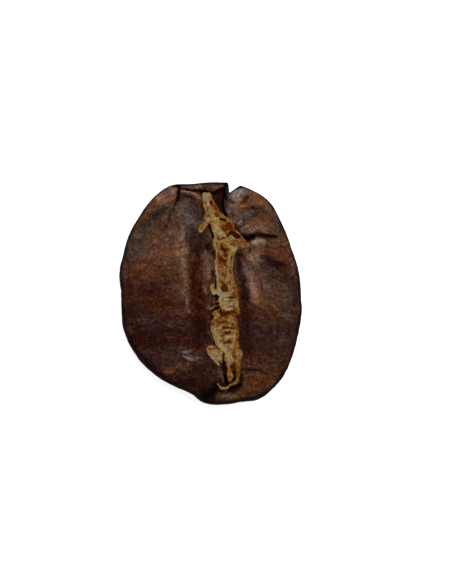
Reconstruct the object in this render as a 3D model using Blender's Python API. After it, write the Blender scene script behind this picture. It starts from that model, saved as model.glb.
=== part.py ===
"""Roasted arabica coffee bean, lying on its rounded back with its flat face up.

The world is in metres, +Z up. +Y runs along the bean, towards the end with the notch, and +X across it.
The origin is under the middle of the bean, on the surface that it rests on.
Lengths in this file are in millimetres, and MM turns them into metres when a mesh is made.
"""

import math

import bpy
import numpy as np
from mathutils import Vector
from mathutils.geometry import delaunay_2d_cdt

MM = 0.001

# Body of the bean: the height where it is widest, the face's rise above that and how flat the face is
EQUATOR_HEIGHT = 3.45
FACE_RISE = 1.42
FACE_FULLNESS = 3.2

# Rounded back: the flat spot's share of the outline, and the low waves in its surface
FLAT_SHARE = 0.257
BACK_WAVE = 0.014
BACK_WAVE_COUNT = 3
BACK_WAVE_TURN = 0.6

# Outline seen from above, as angle in degrees from +X and radius, without the notch
OUTLINE = [
    (0, 4.32), (15, 4.335), (30, 4.42), (45, 4.756), (58, 5.21), (72, 5.312), (88, 5.285), (101, 5.31),
    (110, 5.45), (122, 5.27), (134, 4.94), (143, 4.78), (156, 4.54), (168, 4.43), (179, 4.275), (190, 4.29),
    (204, 4.51), (220, 4.61), (235, 4.68), (250, 4.78), (259.5, 4.88), (267, 5.20), (278, 5.32),
    (286, 5.345), (295, 5.49), (308, 5.30), (322, 4.92), (336, 4.59), (350, 4.41),
]

# V notch where the centre cut runs out over the end: angle and depth below the outline
NOTCH = [(74.3, 0.0), (79.1, 0.5), (80.9, 0.0)]
NOTCH_END_RING = 0.62

# Valley between the two lobes, from the bean's lower end to its notched end:
# place along the bean, left crest, left foot, right foot, right crest, depth
VALLEY = np.array([
    (-4.9, 0.20, 0.60, 1.50, 2.00, 0.08),
    (-4.0, -0.10, 0.50, 1.60, 2.20, 0.15),
    (-3.0, -0.50, 0.15, 1.58, 2.25, 0.22),
    (-2.0, -0.75, 0.05, 1.48, 2.20, 0.30),
    (-1.0, -0.90, 0.00, 1.42, 2.08, 0.40),
    (0.0, -1.00, -0.05, 1.28, 1.95, 0.45),
    (0.8, -1.05, -0.14, 1.20, 1.84, 0.45),
    (1.4, -1.10, -0.22, 1.20, 1.55, 0.43),
    (2.2, -1.02, -0.12, 1.30, 1.60, 0.40),
    (3.0, -1.08, -0.20, 1.20, 1.75, 0.36),
    (4.0, -1.00, -0.30, 0.85, 1.50, 0.28),
    (5.0, -0.80, -0.35, 0.80, 1.35, 0.18),
])
CREST_RISE = 0.16
CREST_WIDTH = 0.55

# Centre cut: its lip seen from above, its depth, and how far in from the lip its floor starts
CUT_LIP = [
    (-0.43, 4.77), (-0.46, 4.92), (-0.25, 4.95), (0.00, 4.88), (0.19, 4.84), (0.42, 4.97), (0.62, 5.07),
    (0.79, 4.99), (0.81, 4.78), (0.74, 4.58), (0.69, 4.36), (0.68, 4.14), (0.80, 3.83), (0.98, 3.44),
    (1.16, 3.06), (1.31, 2.70), (1.37, 2.38), (1.22, 2.02), (1.13, 1.74), (1.09, 1.10), (1.20, 0.12),
    (1.29, -0.57), (1.31, -1.77), (1.37, -2.72), (1.44, -3.15), (1.46, -3.68), (1.50, -4.12), (1.38, -4.42),
    (1.10, -4.58), (0.83, -4.54), (0.67, -4.33), (0.60, -3.96), (0.48, -3.49), (0.29, -3.01), (0.19, -2.48),
    (0.12, -2.01), (0.07, -1.38), (0.06, -0.91), (0.00, -0.53), (0.02, -0.19), (0.16, 0.14), (0.24, 0.53),
    (0.24, 1.10), (0.21, 1.67), (0.21, 2.05), (0.12, 2.39), (0.06, 2.72), (-0.07, 3.06), (-0.19, 3.39),
    (-0.25, 3.87), (-0.33, 4.30), (-0.35, 4.58),
]
CUT_DEPTH = 0.8
CUT_REACH = 5.25
CUT_WALL = 0.14
WALL_ROOM = 0.03

# Raised and sunken forms of the face, each along a path: its points, half width and height
RIDGES = [
    ([(1.95, 2.40), (2.50, 2.36)], 0.45, 0.17),
    ([(-0.12, 1.90), (-0.08, 0.60)], 0.20, 0.09),
    ([(-1.30, 4.78), (-0.90, 4.68), (-0.52, 4.52)], 0.17, 0.09),
    ([(0.40, -4.98), (1.10, -4.93)], 0.24, 0.12),
]
HOLLOWS = [
    ([(0.83, 4.62), (0.85, 5.20)], 0.30, -0.80),
    ([(-0.10, -5.02), (0.30, -4.74)], 0.36, -0.30),
    ([(-2.60, -3.30), (-1.40, -3.60)], 0.80, -0.08),
    ([(-3.10, 1.20), (-2.70, 3.10)], 0.80, -0.07),
]
CRACKS = [
    ([(1.66, 2.66), (1.91, 2.72), (2.48, 2.75), (3.15, 2.68)], 0.19, -0.30),
    ([(2.48, 2.13), (2.91, 1.98), (3.34, 1.77)], 0.20, -0.13),
    ([(-1.50, 4.92), (-1.51, 4.58), (-1.62, 4.32), (-1.77, 4.06)], 0.16, -0.26),
    ([(-1.32, 4.99), (-0.95, 4.96), (-0.62, 4.88)], 0.16, -0.26),
    ([(1.85, -3.59), (2.48, -3.72)], 0.15, -0.10),
]

# Silverskin: its torn outline seen from above
SKIN_OUTLINE = [
    (-0.31, 4.60), (-0.19, 4.73), (-0.05, 4.76), (0.10, 4.70), (0.21, 4.44), (0.33, 4.18), (0.53, 3.89),
    (0.76, 3.63), (1.00, 3.46), (1.15, 3.20), (1.31, 2.91), (1.58, 2.55), (1.77, 2.36), (1.93, 2.27),
    (1.91, 2.15), (1.72, 2.09), (1.48, 2.10), (1.31, 1.94), (1.22, 1.67), (1.17, 1.10), (1.22, 0.48),
    (1.32, 0.05), (1.38, -0.53), (1.37, -1.10), (1.40, -1.77), (1.43, -2.48), (1.54, -3.06), (1.53, -3.58),
    (1.47, -3.96), (1.34, -4.20), (1.05, -4.39), (0.81, -4.52), (0.57, -4.49), (0.40, -4.36), (0.43, -4.22),
    (0.60, -4.33), (0.79, -4.36), (1.03, -4.22), (1.22, -4.05), (1.30, -3.80), (1.31, -3.49), (1.22, -3.80),
    (1.03, -4.12), (0.90, -4.10), (0.84, -3.68), (0.72, -3.20), (0.62, -2.94), (0.55, -3.10), (0.45, -3.49),
    (0.24, -3.32), (-0.02, -3.01), (-0.19, -2.70), (-0.10, -2.51), (0.14, -2.42), (0.10, -2.01),
    (0.02, -1.38), (0.10, -1.10), (0.02, -0.76), (0.10, -0.43), (0.31, -0.29), (0.19, -0.14), (0.05, -0.05),
    (-0.02, 0.24), (0.05, 0.45), (0.21, 0.52), (0.21, 0.86), (0.17, 1.48), (0.19, 2.05), (0.04, 2.39),
    (0.07, 2.72), (-0.10, 3.08), (-0.33, 2.89), (-0.50, 2.82), (-0.58, 2.98), (-0.43, 3.18), (-0.26, 3.39),
    (-0.26, 3.87), (-0.36, 4.30),
]

# Silverskin: the clearance under it, its thickness, its sag over the cut and its folds
SKIN_CLEARANCE = 0.05
SKIN_THICKNESS = 0.13
SKIN_WALL = 0.15
SKIN_SAG = 0.14
SAG_WIDTH = 0.4
RIM_RISE = 0.07
RIM_WIDTH = 0.17
FOLD_HEIGHT = 0.035
FOLD_PITCH = 0.62
PITS = [(0.57, 3.53), (1.19, 2.77), (0.69, 2.08), (0.69, -0.98)]
PIT_RADIUS = 0.2
PIT_DEPTH = 0.10

# Fineness of the meshes
FACE_STEP = 0.19
LIP_STEP = 0.20
CRACK_STEP = 0.18
SKIN_STEP = 0.11
RIM_SHARES = (1.0, 0.996, 0.984)
FACE_SHARES = (0.96, 0.928, 0.89)
BACK_RINGS = 13
OUTLINE_TURN = 2.5
MERGE = 1e-6
KEEP_INSIDE = 1

BEAN_COLOUR = (0.064, 0.027, 0.015, 1.0)
BEAN_ROUGHNESS = 0.48
SKIN_COLOUR = (0.50, 0.31, 0.12, 1.0)
SKIN_ROUGHNESS = 0.75


def clear_scene():
    for thing in list(bpy.context.scene.objects):
        bpy.data.objects.remove(thing, do_unlink=True)


def material(name, colour, roughness):
    made = bpy.data.materials.new(name)
    made.use_nodes = True
    shader = made.node_tree.nodes["Principled BSDF"]
    shader.inputs["Base Color"].default_value = colour
    shader.inputs["Roughness"].default_value = roughness
    shader.inputs["Metallic"].default_value = 0.0
    return made


def mesh_object(name, points, faces, finish):
    """One smooth-shaded object from points in millimetres."""
    mesh = bpy.data.meshes.new(name)
    mesh.from_pydata([tuple(MM * value for value in point) for point in points], [], faces)
    mesh.validate()
    mesh.materials.append(finish)
    mesh.shade_smooth()
    mesh.set_sharp_from_angle(angle=math.radians(55))
    made = bpy.data.objects.new(name, mesh)
    bpy.context.collection.objects.link(made)
    return made


def smooth_radius(angle):
    """Radius of the outline without its notch: a smooth closed curve through OUTLINE."""
    knots = np.radians([row[0] for row in OUTLINE])
    radii = np.array([row[1] for row in OUTLINE])
    turn = 2 * math.pi
    before = np.concatenate([[knots[-1] - turn], knots[:-1]])
    after = np.concatenate([knots[1:], [knots[0] + turn]])
    slopes = (np.roll(radii, -1) - np.roll(radii, 1)) / (after - before)
    angle = np.mod(angle, turn)
    start = np.searchsorted(knots, angle, side="right") - 1
    end = (start + 1) % len(knots)
    span = after[start] - knots[start]
    part = (angle - knots[start]) / span
    rise = part * part * (3 - 2 * part)
    blend_start = part * (1 - part) ** 2
    blend_end = part * part * (part - 1)
    bent = span * (slopes[start] * blend_start + slopes[end] * blend_end)
    return radii[start] * (1 - rise) + radii[end] * rise + bent


def notch_depth(angle):
    degrees = np.degrees(np.mod(angle, 2 * math.pi))
    return np.interp(degrees, [row[0] for row in NOTCH], [row[1] for row in NOTCH])


def outline_radius(angle):
    return smooth_radius(angle) - notch_depth(angle)


def path_distance(spots, path):
    """Distance from each spot to the nearest stretch of a path."""
    path = np.asarray(path, float)
    nearest = np.full(len(spots), np.inf)
    for start, end in zip(path[:-1], path[1:]):
        run = end - start
        along = np.clip((spots - start) @ run / (run @ run), 0, 1)
        nearest = np.minimum(nearest, np.linalg.norm(spots - start - along[:, None] * run, axis=1))
    return nearest


def inside(spots, polygon):
    """Whether each spot lies in a polygon."""
    polygon = np.asarray(polygon, float)
    crossings = np.zeros(len(spots), int)
    for start, end in zip(polygon, np.roll(polygon, -1, axis=0)):
        spans = (start[1] > spots[:, 1]) != (end[1] > spots[:, 1])
        rise = end[1] - start[1] if end[1] != start[1] else 1.0
        meets = start[0] + (spots[:, 1] - start[1]) * (end[0] - start[0]) / rise
        crossings += spans & (spots[:, 0] < meets)
    return crossings % 2 == 1


def closed(points):
    return np.vstack([points, points[:1]])


def depth_inside(spots, polygon):
    """Distance in from a polygon's edge, negative outside it."""
    distance = path_distance(spots, closed(np.asarray(polygon, float)))
    return np.where(inside(spots, polygon), distance, -distance)


def soft_step(value):
    value = np.clip(value, 0, 1)
    return value * value * (3 - 2 * value)


def divide(path, step):
    """The path's points, with more between them where they are further apart than step."""
    path = np.asarray(path, float)
    found = []
    for start, end in zip(path[:-1], path[1:]):
        pieces = max(1, round(float(np.linalg.norm(end - start)) / step))
        found += [start + (end - start) * number / pieces for number in range(pieces)]
    return np.array(found + [path[-1]])


def inset(polygon, width):
    """A polygon's points moved inwards, along the middle of each corner."""
    before = polygon - np.roll(polygon, 1, axis=0)
    after = np.roll(polygon, -1, axis=0) - polygon
    runs = before / np.linalg.norm(before, axis=1)[:, None] + after / np.linalg.norm(after, axis=1)[:, None]
    runs /= np.linalg.norm(runs, axis=1)[:, None]
    across = np.stack([runs[:, 1], -runs[:, 0]], axis=1)
    moved = polygon + width * across
    if not inside(moved[:1], polygon)[0]:
        moved = polygon - width * across
    return moved


def stroke(spots, path, half_width, height):
    """A soft ridge or furrow along a path."""
    share = np.clip(path_distance(spots, path) / half_width, 0, 1)
    return height * (1 - share * share) ** 2


def fullness(spots):
    """How far out each spot lies: 0 at the middle, 1 on the outline."""
    return np.hypot(spots[:, 0], spots[:, 1]) / outline_radius(np.arctan2(spots[:, 1], spots[:, 0]))


def bell(value):
    return np.exp(-value * value)


def valley(spots):
    """The valley's floor and slopes, and the lobes' slight rise along its crests."""
    left_crest, left_foot, right_foot, right_crest, depth = [
        np.interp(spots[:, 1], VALLEY[:, 0], VALLEY[:, column]) for column in range(1, 6)]
    left = soft_step((spots[:, 0] - left_crest) / (left_foot - left_crest))
    right = soft_step((right_crest - spots[:, 0]) / (right_crest - right_foot))
    rise = bell((spots[:, 0] - left_crest) / CREST_WIDTH) + bell((spots[:, 0] - right_crest) / CREST_WIDTH)
    return depth * (CREST_RISE * rise - np.minimum(left, right))


def face_height(spots):
    """Height of the face with its valley, ridges, hollows and cracks, but without the centre cut."""
    dome = np.sqrt(np.clip(1 - fullness(spots) ** FACE_FULLNESS, 0, 1))
    relief = valley(spots)
    for path, half_width, height in RIDGES + HOLLOWS + CRACKS:
        relief = relief + stroke(spots, path, half_width, height)
    return EQUATOR_HEIGHT + dome * (FACE_RISE + relief)


def cut_depth(spots):
    """Depth of the centre cut's floor, less towards the bean's ends."""
    return CUT_DEPTH * np.sqrt(np.clip(1 - (spots[:, 1] / CUT_REACH) ** 8, 0, 1))


def outline_angles():
    """Even turns round the outline, with the notch's own corners in place of those that they meet."""
    corners = [math.radians(row[0]) for row in NOTCH] + [math.radians(76.7), math.radians(80.0)]
    first, last = math.radians(NOTCH[0][0] - 1.5), math.radians(NOTCH[-1][0] + 1.5)
    even = np.radians(np.arange(0, 360, OUTLINE_TURN))
    return np.array(sorted(corners + [angle for angle in even if not first < angle < last]))


def polar(angles, radii):
    return np.stack([radii * np.cos(angles), radii * np.sin(angles)], axis=1)


def grid(step, reach):
    """Spots in staggered rows that cover a square."""
    rows = np.arange(-reach, reach, step * math.sqrt(3) / 2)
    found = []
    for number, y in enumerate(rows):
        shift = 0.5 * step * (number % 2)
        found += [(x + shift, y) for x in np.arange(-reach, reach, step)]
    return np.array(found)


def clear_of(spots, taken, room):
    """The spots that are further than room from all those taken."""
    gaps = np.linalg.norm(spots[:, None, :] - np.asarray(taken)[None, :, :], axis=2)
    return spots[gaps.min(axis=1) > room]


def triangulate(spots, edges):
    """Triangles over the spots that keep the given edges and stay inside the outermost loop of them.

    Each spot found is given with the number of the spot that it comes from.
    """
    corners = [Vector(spot) for spot in spots]
    places, _, triangles, sources, _, _ = delaunay_2d_cdt(corners, edges, [], KEEP_INSIDE, MERGE)
    places = np.array([tuple(place) for place in places])
    return places, [tuple(triangle) for triangle in triangles], [source[0] for source in sources]


def loop_edges(first, count):
    return [(first + number, first + (number + 1) % count) for number in range(count)]


def chain_edges(first, count):
    return [(first + number, first + number + 1) for number in range(count - 1)]


def bean_face(ring, angles):
    """The face's spots, their heights, its triangles and where its spots come from, the ring first."""
    lip = divide(closed(np.array(CUT_LIP)), LIP_STEP)[:-1]
    foot = inset(lip, CUT_WALL)
    cracks = [divide(path, CRACK_STEP) for path, _, _ in CRACKS]
    fixed = [ring, lip, foot] + cracks
    edges = []
    first = 0
    for loop in fixed[:3]:
        edges += loop_edges(first, len(loop))
        first += len(loop)
    for crack in cracks:
        edges += chain_edges(first, len(crack))
        first += len(crack)

    rings = np.vstack([polar(angles, share * outline_radius(angles)) for share in FACE_SHARES])
    rings = clear_of(rings, np.vstack(fixed[1:]), 0.5 * LIP_STEP)
    filler = grid(FACE_STEP, CUT_REACH)
    filler = filler[fullness(filler) < FACE_SHARES[-1] - 0.03]
    filler = clear_of(filler, np.vstack(fixed), 0.6 * FACE_STEP)
    loose = np.vstack([rings, filler])
    loose = loose[np.abs(depth_inside(loose, lip) - CUT_WALL / 2) > CUT_WALL / 2 + WALL_ROOM]
    spots = np.vstack(fixed + [loose])

    heights = face_height(spots)
    floor = inside(spots, (lip + foot) / 2)
    heights[floor] -= cut_depth(spots[floor])
    places, faces, sources = triangulate(spots, edges)
    return places, heights[sources], faces, sources


def bridge(faces, upper, lower):
    """Four-cornered faces between one ring of points and the next one below it."""
    for number, corner in enumerate(upper):
        following = (number + 1) % len(upper)
        faces.append((corner, lower[number], lower[following], upper[following]))


def add_ring(points, places, heights):
    """Adds a ring's points and gives their numbers."""
    first = len(points)
    points += [(x, y, z) for (x, y), z in zip(places, heights)]
    return list(range(first, len(points)))


def back_ring(angles, dip, last):
    """A ring of the rounded back, dip radians round from the widest outline."""
    share = math.cos(dip)
    fade = float(soft_step((share - NOTCH_END_RING) / (1 - NOTCH_END_RING)))
    wave = BACK_WAVE * math.sin(2 * dip) * np.sin(BACK_WAVE_COUNT * angles + BACK_WAVE_TURN)
    radii = share * smooth_radius(angles) * (1 + wave) - fade * notch_depth(angles)
    height = EQUATOR_HEIGHT * (1 - math.sin(dip) / math.sin(last))
    return polar(angles, radii), np.full(len(angles), height)


def build_bean():
    """The seed body: the face, the rim that rounds it off, and the rounded back down to its flat spot."""
    angles = outline_angles()
    rims = [polar(angles, share * outline_radius(angles)) for share in RIM_SHARES]
    places, heights, faces, sources = bean_face(rims[-1], angles)
    points = [(x, y, z) for (x, y), z in zip(places, heights)]
    rows = [[sources.index(number) for number in range(len(angles))]]
    rows += [add_ring(points, rim, face_height(rim)) for rim in reversed(rims[:-1])]
    last = math.acos(FLAT_SHARE)
    for step in range(1, BACK_RINGS + 1):
        rows.append(add_ring(points, *back_ring(angles, last * step / BACK_RINGS, last)))
    for upper, lower in zip(rows[:-1], rows[1:]):
        bridge(faces, upper, lower)
    faces.append(tuple(reversed(rows[-1])))
    return mesh_object("bean", points, faces, material("bean", BEAN_COLOUR, BEAN_ROUGHNESS))


def skin_top(spots, outline):
    """The silverskin's upper side: curled rims, cross folds and torn pits."""
    inward = depth_inside(spots, outline)
    rim = RIM_RISE * np.exp(-((inward - 0.5 * RIM_WIDTH) / RIM_WIDTH) ** 2)
    wander = 0.35 * np.sin(2.1 * spots[:, 0] + 0.7 * spots[:, 1])
    folds = FOLD_HEIGHT * np.sin(2 * math.pi * spots[:, 1] / FOLD_PITCH + 4 * wander)
    raised = rim + folds * soft_step(inward / RIM_WIDTH)
    raised = raised - SKIN_SAG * soft_step(depth_inside(spots, CUT_LIP) / SAG_WIDTH)
    for pit in PITS:
        away = np.linalg.norm(spots - np.array(pit), axis=1) / PIT_RADIUS
        raised = raised - PIT_DEPTH * np.exp(-away * away)
    return face_height(spots) + SKIN_CLEARANCE + SKIN_THICKNESS + raised


def skin_underside(spots):
    """The silverskin's lower side: laid over the lobes' lips, and sunk into the centre cut between them."""
    sink = soft_step((depth_inside(spots, CUT_LIP) - SKIN_WALL) / SKIN_WALL)
    return face_height(spots) + SKIN_CLEARANCE - sink * (cut_depth(spots) - SKIN_CLEARANCE)


def build_silverskin():
    outline = divide(closed(np.array(SKIN_OUTLINE)), SKIN_STEP)[:-1]
    ledge = inset(divide(closed(np.array(CUT_LIP)), LIP_STEP)[:-1], SKIN_WALL)
    ledge = clear_of(ledge[inside(ledge, outline)], outline, 0.05)
    filler = grid(SKIN_STEP, CUT_REACH)
    filler = filler[inside(filler, outline)]
    filler = clear_of(filler, np.vstack([outline, ledge]), 0.6 * SKIN_STEP)
    spots = np.vstack([outline, ledge, filler])
    places, faces, sources = triangulate(spots, loop_edges(0, len(outline)))

    top = skin_top(places, outline)
    under = skin_underside(places)
    count = len(places)
    points = [(x, y, z) for (x, y), z in zip(places, top)]
    points += [(x, y, z) for (x, y), z in zip(places, under)]
    faces += [tuple(count + corner for corner in reversed(face)) for face in faces]
    rim = [sources.index(number) for number in range(len(outline))]
    for here, there in zip(rim, rim[1:] + rim[:1]):
        faces.append((here, there, count + there, count + here))
    return mesh_object("silverskin", points, faces, material("silverskin", SKIN_COLOUR, SKIN_ROUGHNESS))


def main():
    clear_scene()
    build_bean()
    build_silverskin()


main()
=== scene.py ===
"""Looks of the roasted arabica coffee bean: its mottled skin, folds and cracks, and its papery silverskin.

The world is in metres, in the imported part's frame: +Y along the bean, +Z up out of its flat face.
Lengths in this file are in millimetres where a name says nothing else, and MM turns them into metres.
"""

import math

import bpy
import numpy as np
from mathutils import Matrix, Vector, noise
from mathutils.geometry import delaunay_2d_cdt


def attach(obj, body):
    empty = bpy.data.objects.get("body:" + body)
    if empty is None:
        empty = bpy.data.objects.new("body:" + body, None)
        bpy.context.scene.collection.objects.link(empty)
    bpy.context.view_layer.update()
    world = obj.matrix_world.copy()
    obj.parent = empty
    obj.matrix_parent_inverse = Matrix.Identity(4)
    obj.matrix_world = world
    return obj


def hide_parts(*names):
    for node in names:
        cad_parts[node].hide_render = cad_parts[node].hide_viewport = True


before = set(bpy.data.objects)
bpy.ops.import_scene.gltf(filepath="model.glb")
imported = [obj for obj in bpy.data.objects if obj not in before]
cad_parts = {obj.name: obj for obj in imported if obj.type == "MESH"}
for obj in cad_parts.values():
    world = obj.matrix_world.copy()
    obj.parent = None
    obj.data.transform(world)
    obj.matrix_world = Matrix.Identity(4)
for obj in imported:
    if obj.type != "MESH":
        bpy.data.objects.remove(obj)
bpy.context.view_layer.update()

MM = 0.001

# Body of the bean, as in the part's source: its domed face, and its rounded back with low waves
EQUATOR_HEIGHT = 3.45
FACE_RISE = 1.42
FACE_FULLNESS = 3.2
FLAT_SHARE = 0.257
BACK_WAVE = 0.014
BACK_WAVE_COUNT = 3
BACK_WAVE_TURN = 0.6

# Outline: direction in degrees and radius. At the right and the lower right it is up to 0.1 mm fuller than
# the source's, where the photograph shows the bean's edge a little further out
OUTLINE = [
    (0, 4.355), (15, 4.385), (30, 4.475), (45, 4.81), (58, 5.235), (72, 5.312), (88, 5.31), (101, 5.31),
    (110, 5.45), (122, 5.27), (134, 4.94), (143, 4.78), (156, 4.54), (168, 4.43), (179, 4.265), (190, 4.29),
    (204, 4.51), (220, 4.63), (235, 4.72), (250, 4.80), (259.5, 4.89), (267, 5.26), (278, 5.40),
    (286, 5.405), (295, 5.58), (308, 5.40), (322, 5.00), (336, 4.64), (350, 4.46),
]

# Notch at the end of the centre cut: direction in degrees and depth, and how far in over the back it reaches
NOTCH = [(74.3, 0.0), (79.1, 0.5), (80.9, 0.0)]
NOTCH_END_RING = 0.62

# Valley between the lobes, from the bean's lower end to its notched end:
# place along the bean, left crest, left foot, right foot, right crest, depth
VALLEY = np.array([
    (-4.9, 0.20, 0.60, 1.50, 2.00, 0.08),
    (-4.0, -0.10, 0.50, 1.60, 2.20, 0.15),
    (-3.0, -0.50, 0.15, 1.58, 2.25, 0.22),
    (-2.0, -0.75, 0.05, 1.48, 2.20, 0.30),
    (-1.0, -0.90, 0.00, 1.42, 2.08, 0.40),
    (0.0, -1.00, -0.05, 1.28, 1.95, 0.45),
    (0.8, -1.05, -0.14, 1.20, 1.84, 0.45),
    (1.4, -1.10, -0.22, 1.20, 1.55, 0.43),
    (2.2, -1.02, -0.12, 1.30, 1.60, 0.40),
    (3.0, -1.08, -0.20, 1.20, 1.75, 0.36),
    (4.0, -1.00, -0.30, 0.85, 1.50, 0.28),
    (5.0, -0.80, -0.35, 0.80, 1.35, 0.18),
])
CREST_RISE = 0.16
CREST_WIDTH = 0.55

# Centre cut: its lip, its depth, how far towards the bean's ends it reaches, and how wide its wall is
CUT_LIP = [
    (-0.43, 4.77), (-0.46, 4.92), (-0.25, 4.95), (0.00, 4.88), (0.19, 4.84), (0.42, 4.97), (0.62, 5.07),
    (0.79, 4.99), (0.81, 4.78), (0.74, 4.58), (0.69, 4.36), (0.68, 4.14), (0.80, 3.83), (0.98, 3.44),
    (1.16, 3.06), (1.31, 2.70), (1.37, 2.38), (1.22, 2.02), (1.13, 1.74), (1.09, 1.10), (1.20, 0.12),
    (1.29, -0.57), (1.31, -1.77), (1.37, -2.72), (1.44, -3.15), (1.46, -3.68), (1.50, -4.12), (1.38, -4.42),
    (1.10, -4.58), (0.83, -4.54), (0.67, -4.33), (0.60, -3.96), (0.48, -3.49), (0.29, -3.01), (0.19, -2.48),
    (0.12, -2.01), (0.07, -1.38), (0.06, -0.91), (0.00, -0.53), (0.02, -0.19), (0.16, 0.14), (0.24, 0.53),
    (0.24, 1.10), (0.21, 1.67), (0.21, 2.05), (0.12, 2.39), (0.06, 2.72), (-0.07, 3.06), (-0.19, 3.39),
    (-0.25, 3.87), (-0.33, 4.30), (-0.35, 4.58),
]
CUT_DEPTH = 0.8
CUT_REACH = 5.25
CUT_FULLNESS = 8
CUT_WALL = 0.14

# Forms of the face, each along a path: its points, half width and height
FORMS = [
    ([(1.95, 2.40), (2.50, 2.36)], 0.45, 0.17),
    ([(-0.12, 1.90), (-0.08, 0.60)], 0.20, 0.09),
    ([(-1.30, 4.78), (-0.90, 4.68), (-0.52, 4.52)], 0.17, 0.09),
    ([(0.40, -4.98), (1.10, -4.93)], 0.24, 0.12),
    ([(0.83, 4.62), (0.85, 5.20)], 0.30, -0.80),
    ([(-0.10, -5.02), (0.30, -4.74)], 0.36, -0.30),
    ([(-2.60, -3.30), (-1.40, -3.60)], 0.80, -0.08),
    ([(-3.10, 1.20), (-2.70, 3.10)], 0.80, -0.07),
]
CRACKS = [
    ([(1.72, 2.60), (1.91, 2.66), (2.20, 2.76), (2.62, 2.72), (3.15, 2.66)], 0.15, -0.42),
    ([(-1.53, 5.15), (-1.46, 4.95), (-1.49, 4.66), (-1.58, 4.42), (-1.64, 4.28)], 0.11, -0.36),
    ([(-1.40, 5.00), (-0.95, 4.92), (-0.62, 4.89), (-0.34, 4.80)], 0.11, -0.36),
]

PHOTO_WIDTH_PX = 452
PHOTO_HEIGHT_PX = 584
MM_PER_PX = 10.6 / 222
BEAN_CENTRE_PX = (210.0, 293.0)

# In the tables below, paths and half widths are in the photograph's pixels, and heights in millimetres.
# Lightness is in stops, and warmth goes from grey purple (negative) to orange brown (positive).

# Smaller forms of the face that are also painted: path, half width, height, half width of the paint,
# change of lightness, and change of warmth. Their paint is mostly painted shade in creases, dents, pits and
# hollows, and painted glints on the wrinkles at the lower left
MARKS = [
    # crease below the crack at the upper left, with painted shade in it, and the raised line beside it,
    # painted lighter
    ([(176, 203), (174, 209), (171, 216), (167, 224), (163, 232)], 2.2, -0.07, 1.6, -0.8, 0.1),
    ([(171, 206), (168, 214), (165, 224)], 3, 0.05, 3, 0.35, 0.1),
    # folds right of the bump under the crack, with painted shade in their creases
    ([(263, 252.5), (268, 250.5), (274, 251)], 1.8, -0.06, 1.6, -0.6, 0.3),
    ([(276, 246), (282, 248), (288, 252)], 1.8, -0.07, 2, -0.4, 0.1),
    ([(237, 254.5), (242, 256)], 1.8, -0.12, 2, -1.2, 0),
    # dents near the notch, with painted shade in them, and a raised fold painted lighter
    ([(229, 200.5), (233, 203)], 2.4, -0.06, 2.6, -0.8, 0.3),
    ([(231, 210), (232, 214.5)], 2, -0.05, 2.6, -0.6, 0),
    ([(241, 202), (247, 198)], 2.4, -0.05, 3, -0.5, 0),
    ([(231.5, 206), (238, 208)], 2.4, 0.05, 3, 0.45, -0.5),
    ([(242, 208.5), (256, 208), (270, 206.5)], 2, -0.05, 2.2, -0.5, 0.1),
    # grooves along the lip at the top end, with painted shade in them
    ([(204, 187), (209, 189)], 2, -0.08, 2.6, -0.5, 0.1),
    ([(183, 196.3), (190, 197), (195, 199.5)], 1.2, -0.07, 1.3, -0.8, 0),
    # pits beside the silverskin on the left, with painted shade in them, and pale flecks
    ([(212.6, 251), (213.8, 258)], 1.4, -0.14, 1.8, -1.2, 0.3),
    ([(212.5, 271), (213.2, 275)], 1.5, -0.14, 2, -1.4, 0.3),
    ([(208.5, 294.5), (211, 297)], 1.6, -0.1, 2.2, -1.2, -0.5),
    ([(200.5, 299), (200.8, 304)], 1.3, 0.04, 1.4, 1, -0.4),
    ([(210.5, 308.5), (213.3, 305.5)], 1.4, 0.09, 1.4, 1.8, -0.5),
    ([(208.3, 303.5), (208.8, 307)], 1.4, 0.05, 1.5, 0.9, -0.4),
    ([(202, 333), (202.3, 341)], 1.6, 0.05, 1.8, 1, -0.5),
    ([(206.5, 336), (208, 341)], 2.6, -0.1, 4, -0.8, -0.4),
    ([(207, 322), (209, 331), (212, 340)], 1.3, 0.05, 1.6, 0.8, 0),
    # glinting wrinkles at the lower left
    ([(184, 352), (190, 350.5)], 1.8, 0.04, 2.6, 1.2, -0.6),
    ([(184, 356.5), (191, 359.5), (198, 357.5)], 1.9, 0.05, 2.6, 1.5, -0.6),
    # crease at the lower right, with painted shade in it
    ([(241, 368.8), (250, 369.2), (262, 370.8)], 1.3, -0.07, 1.3, -0.7, 0),
    # hollow at the dark tip, with painted shade in it
    ([(229, 389.5), (234, 388.3), (239.5, 384.5)], 3.2, -0.3, 4, -2.2, -0.9),
]

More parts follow.
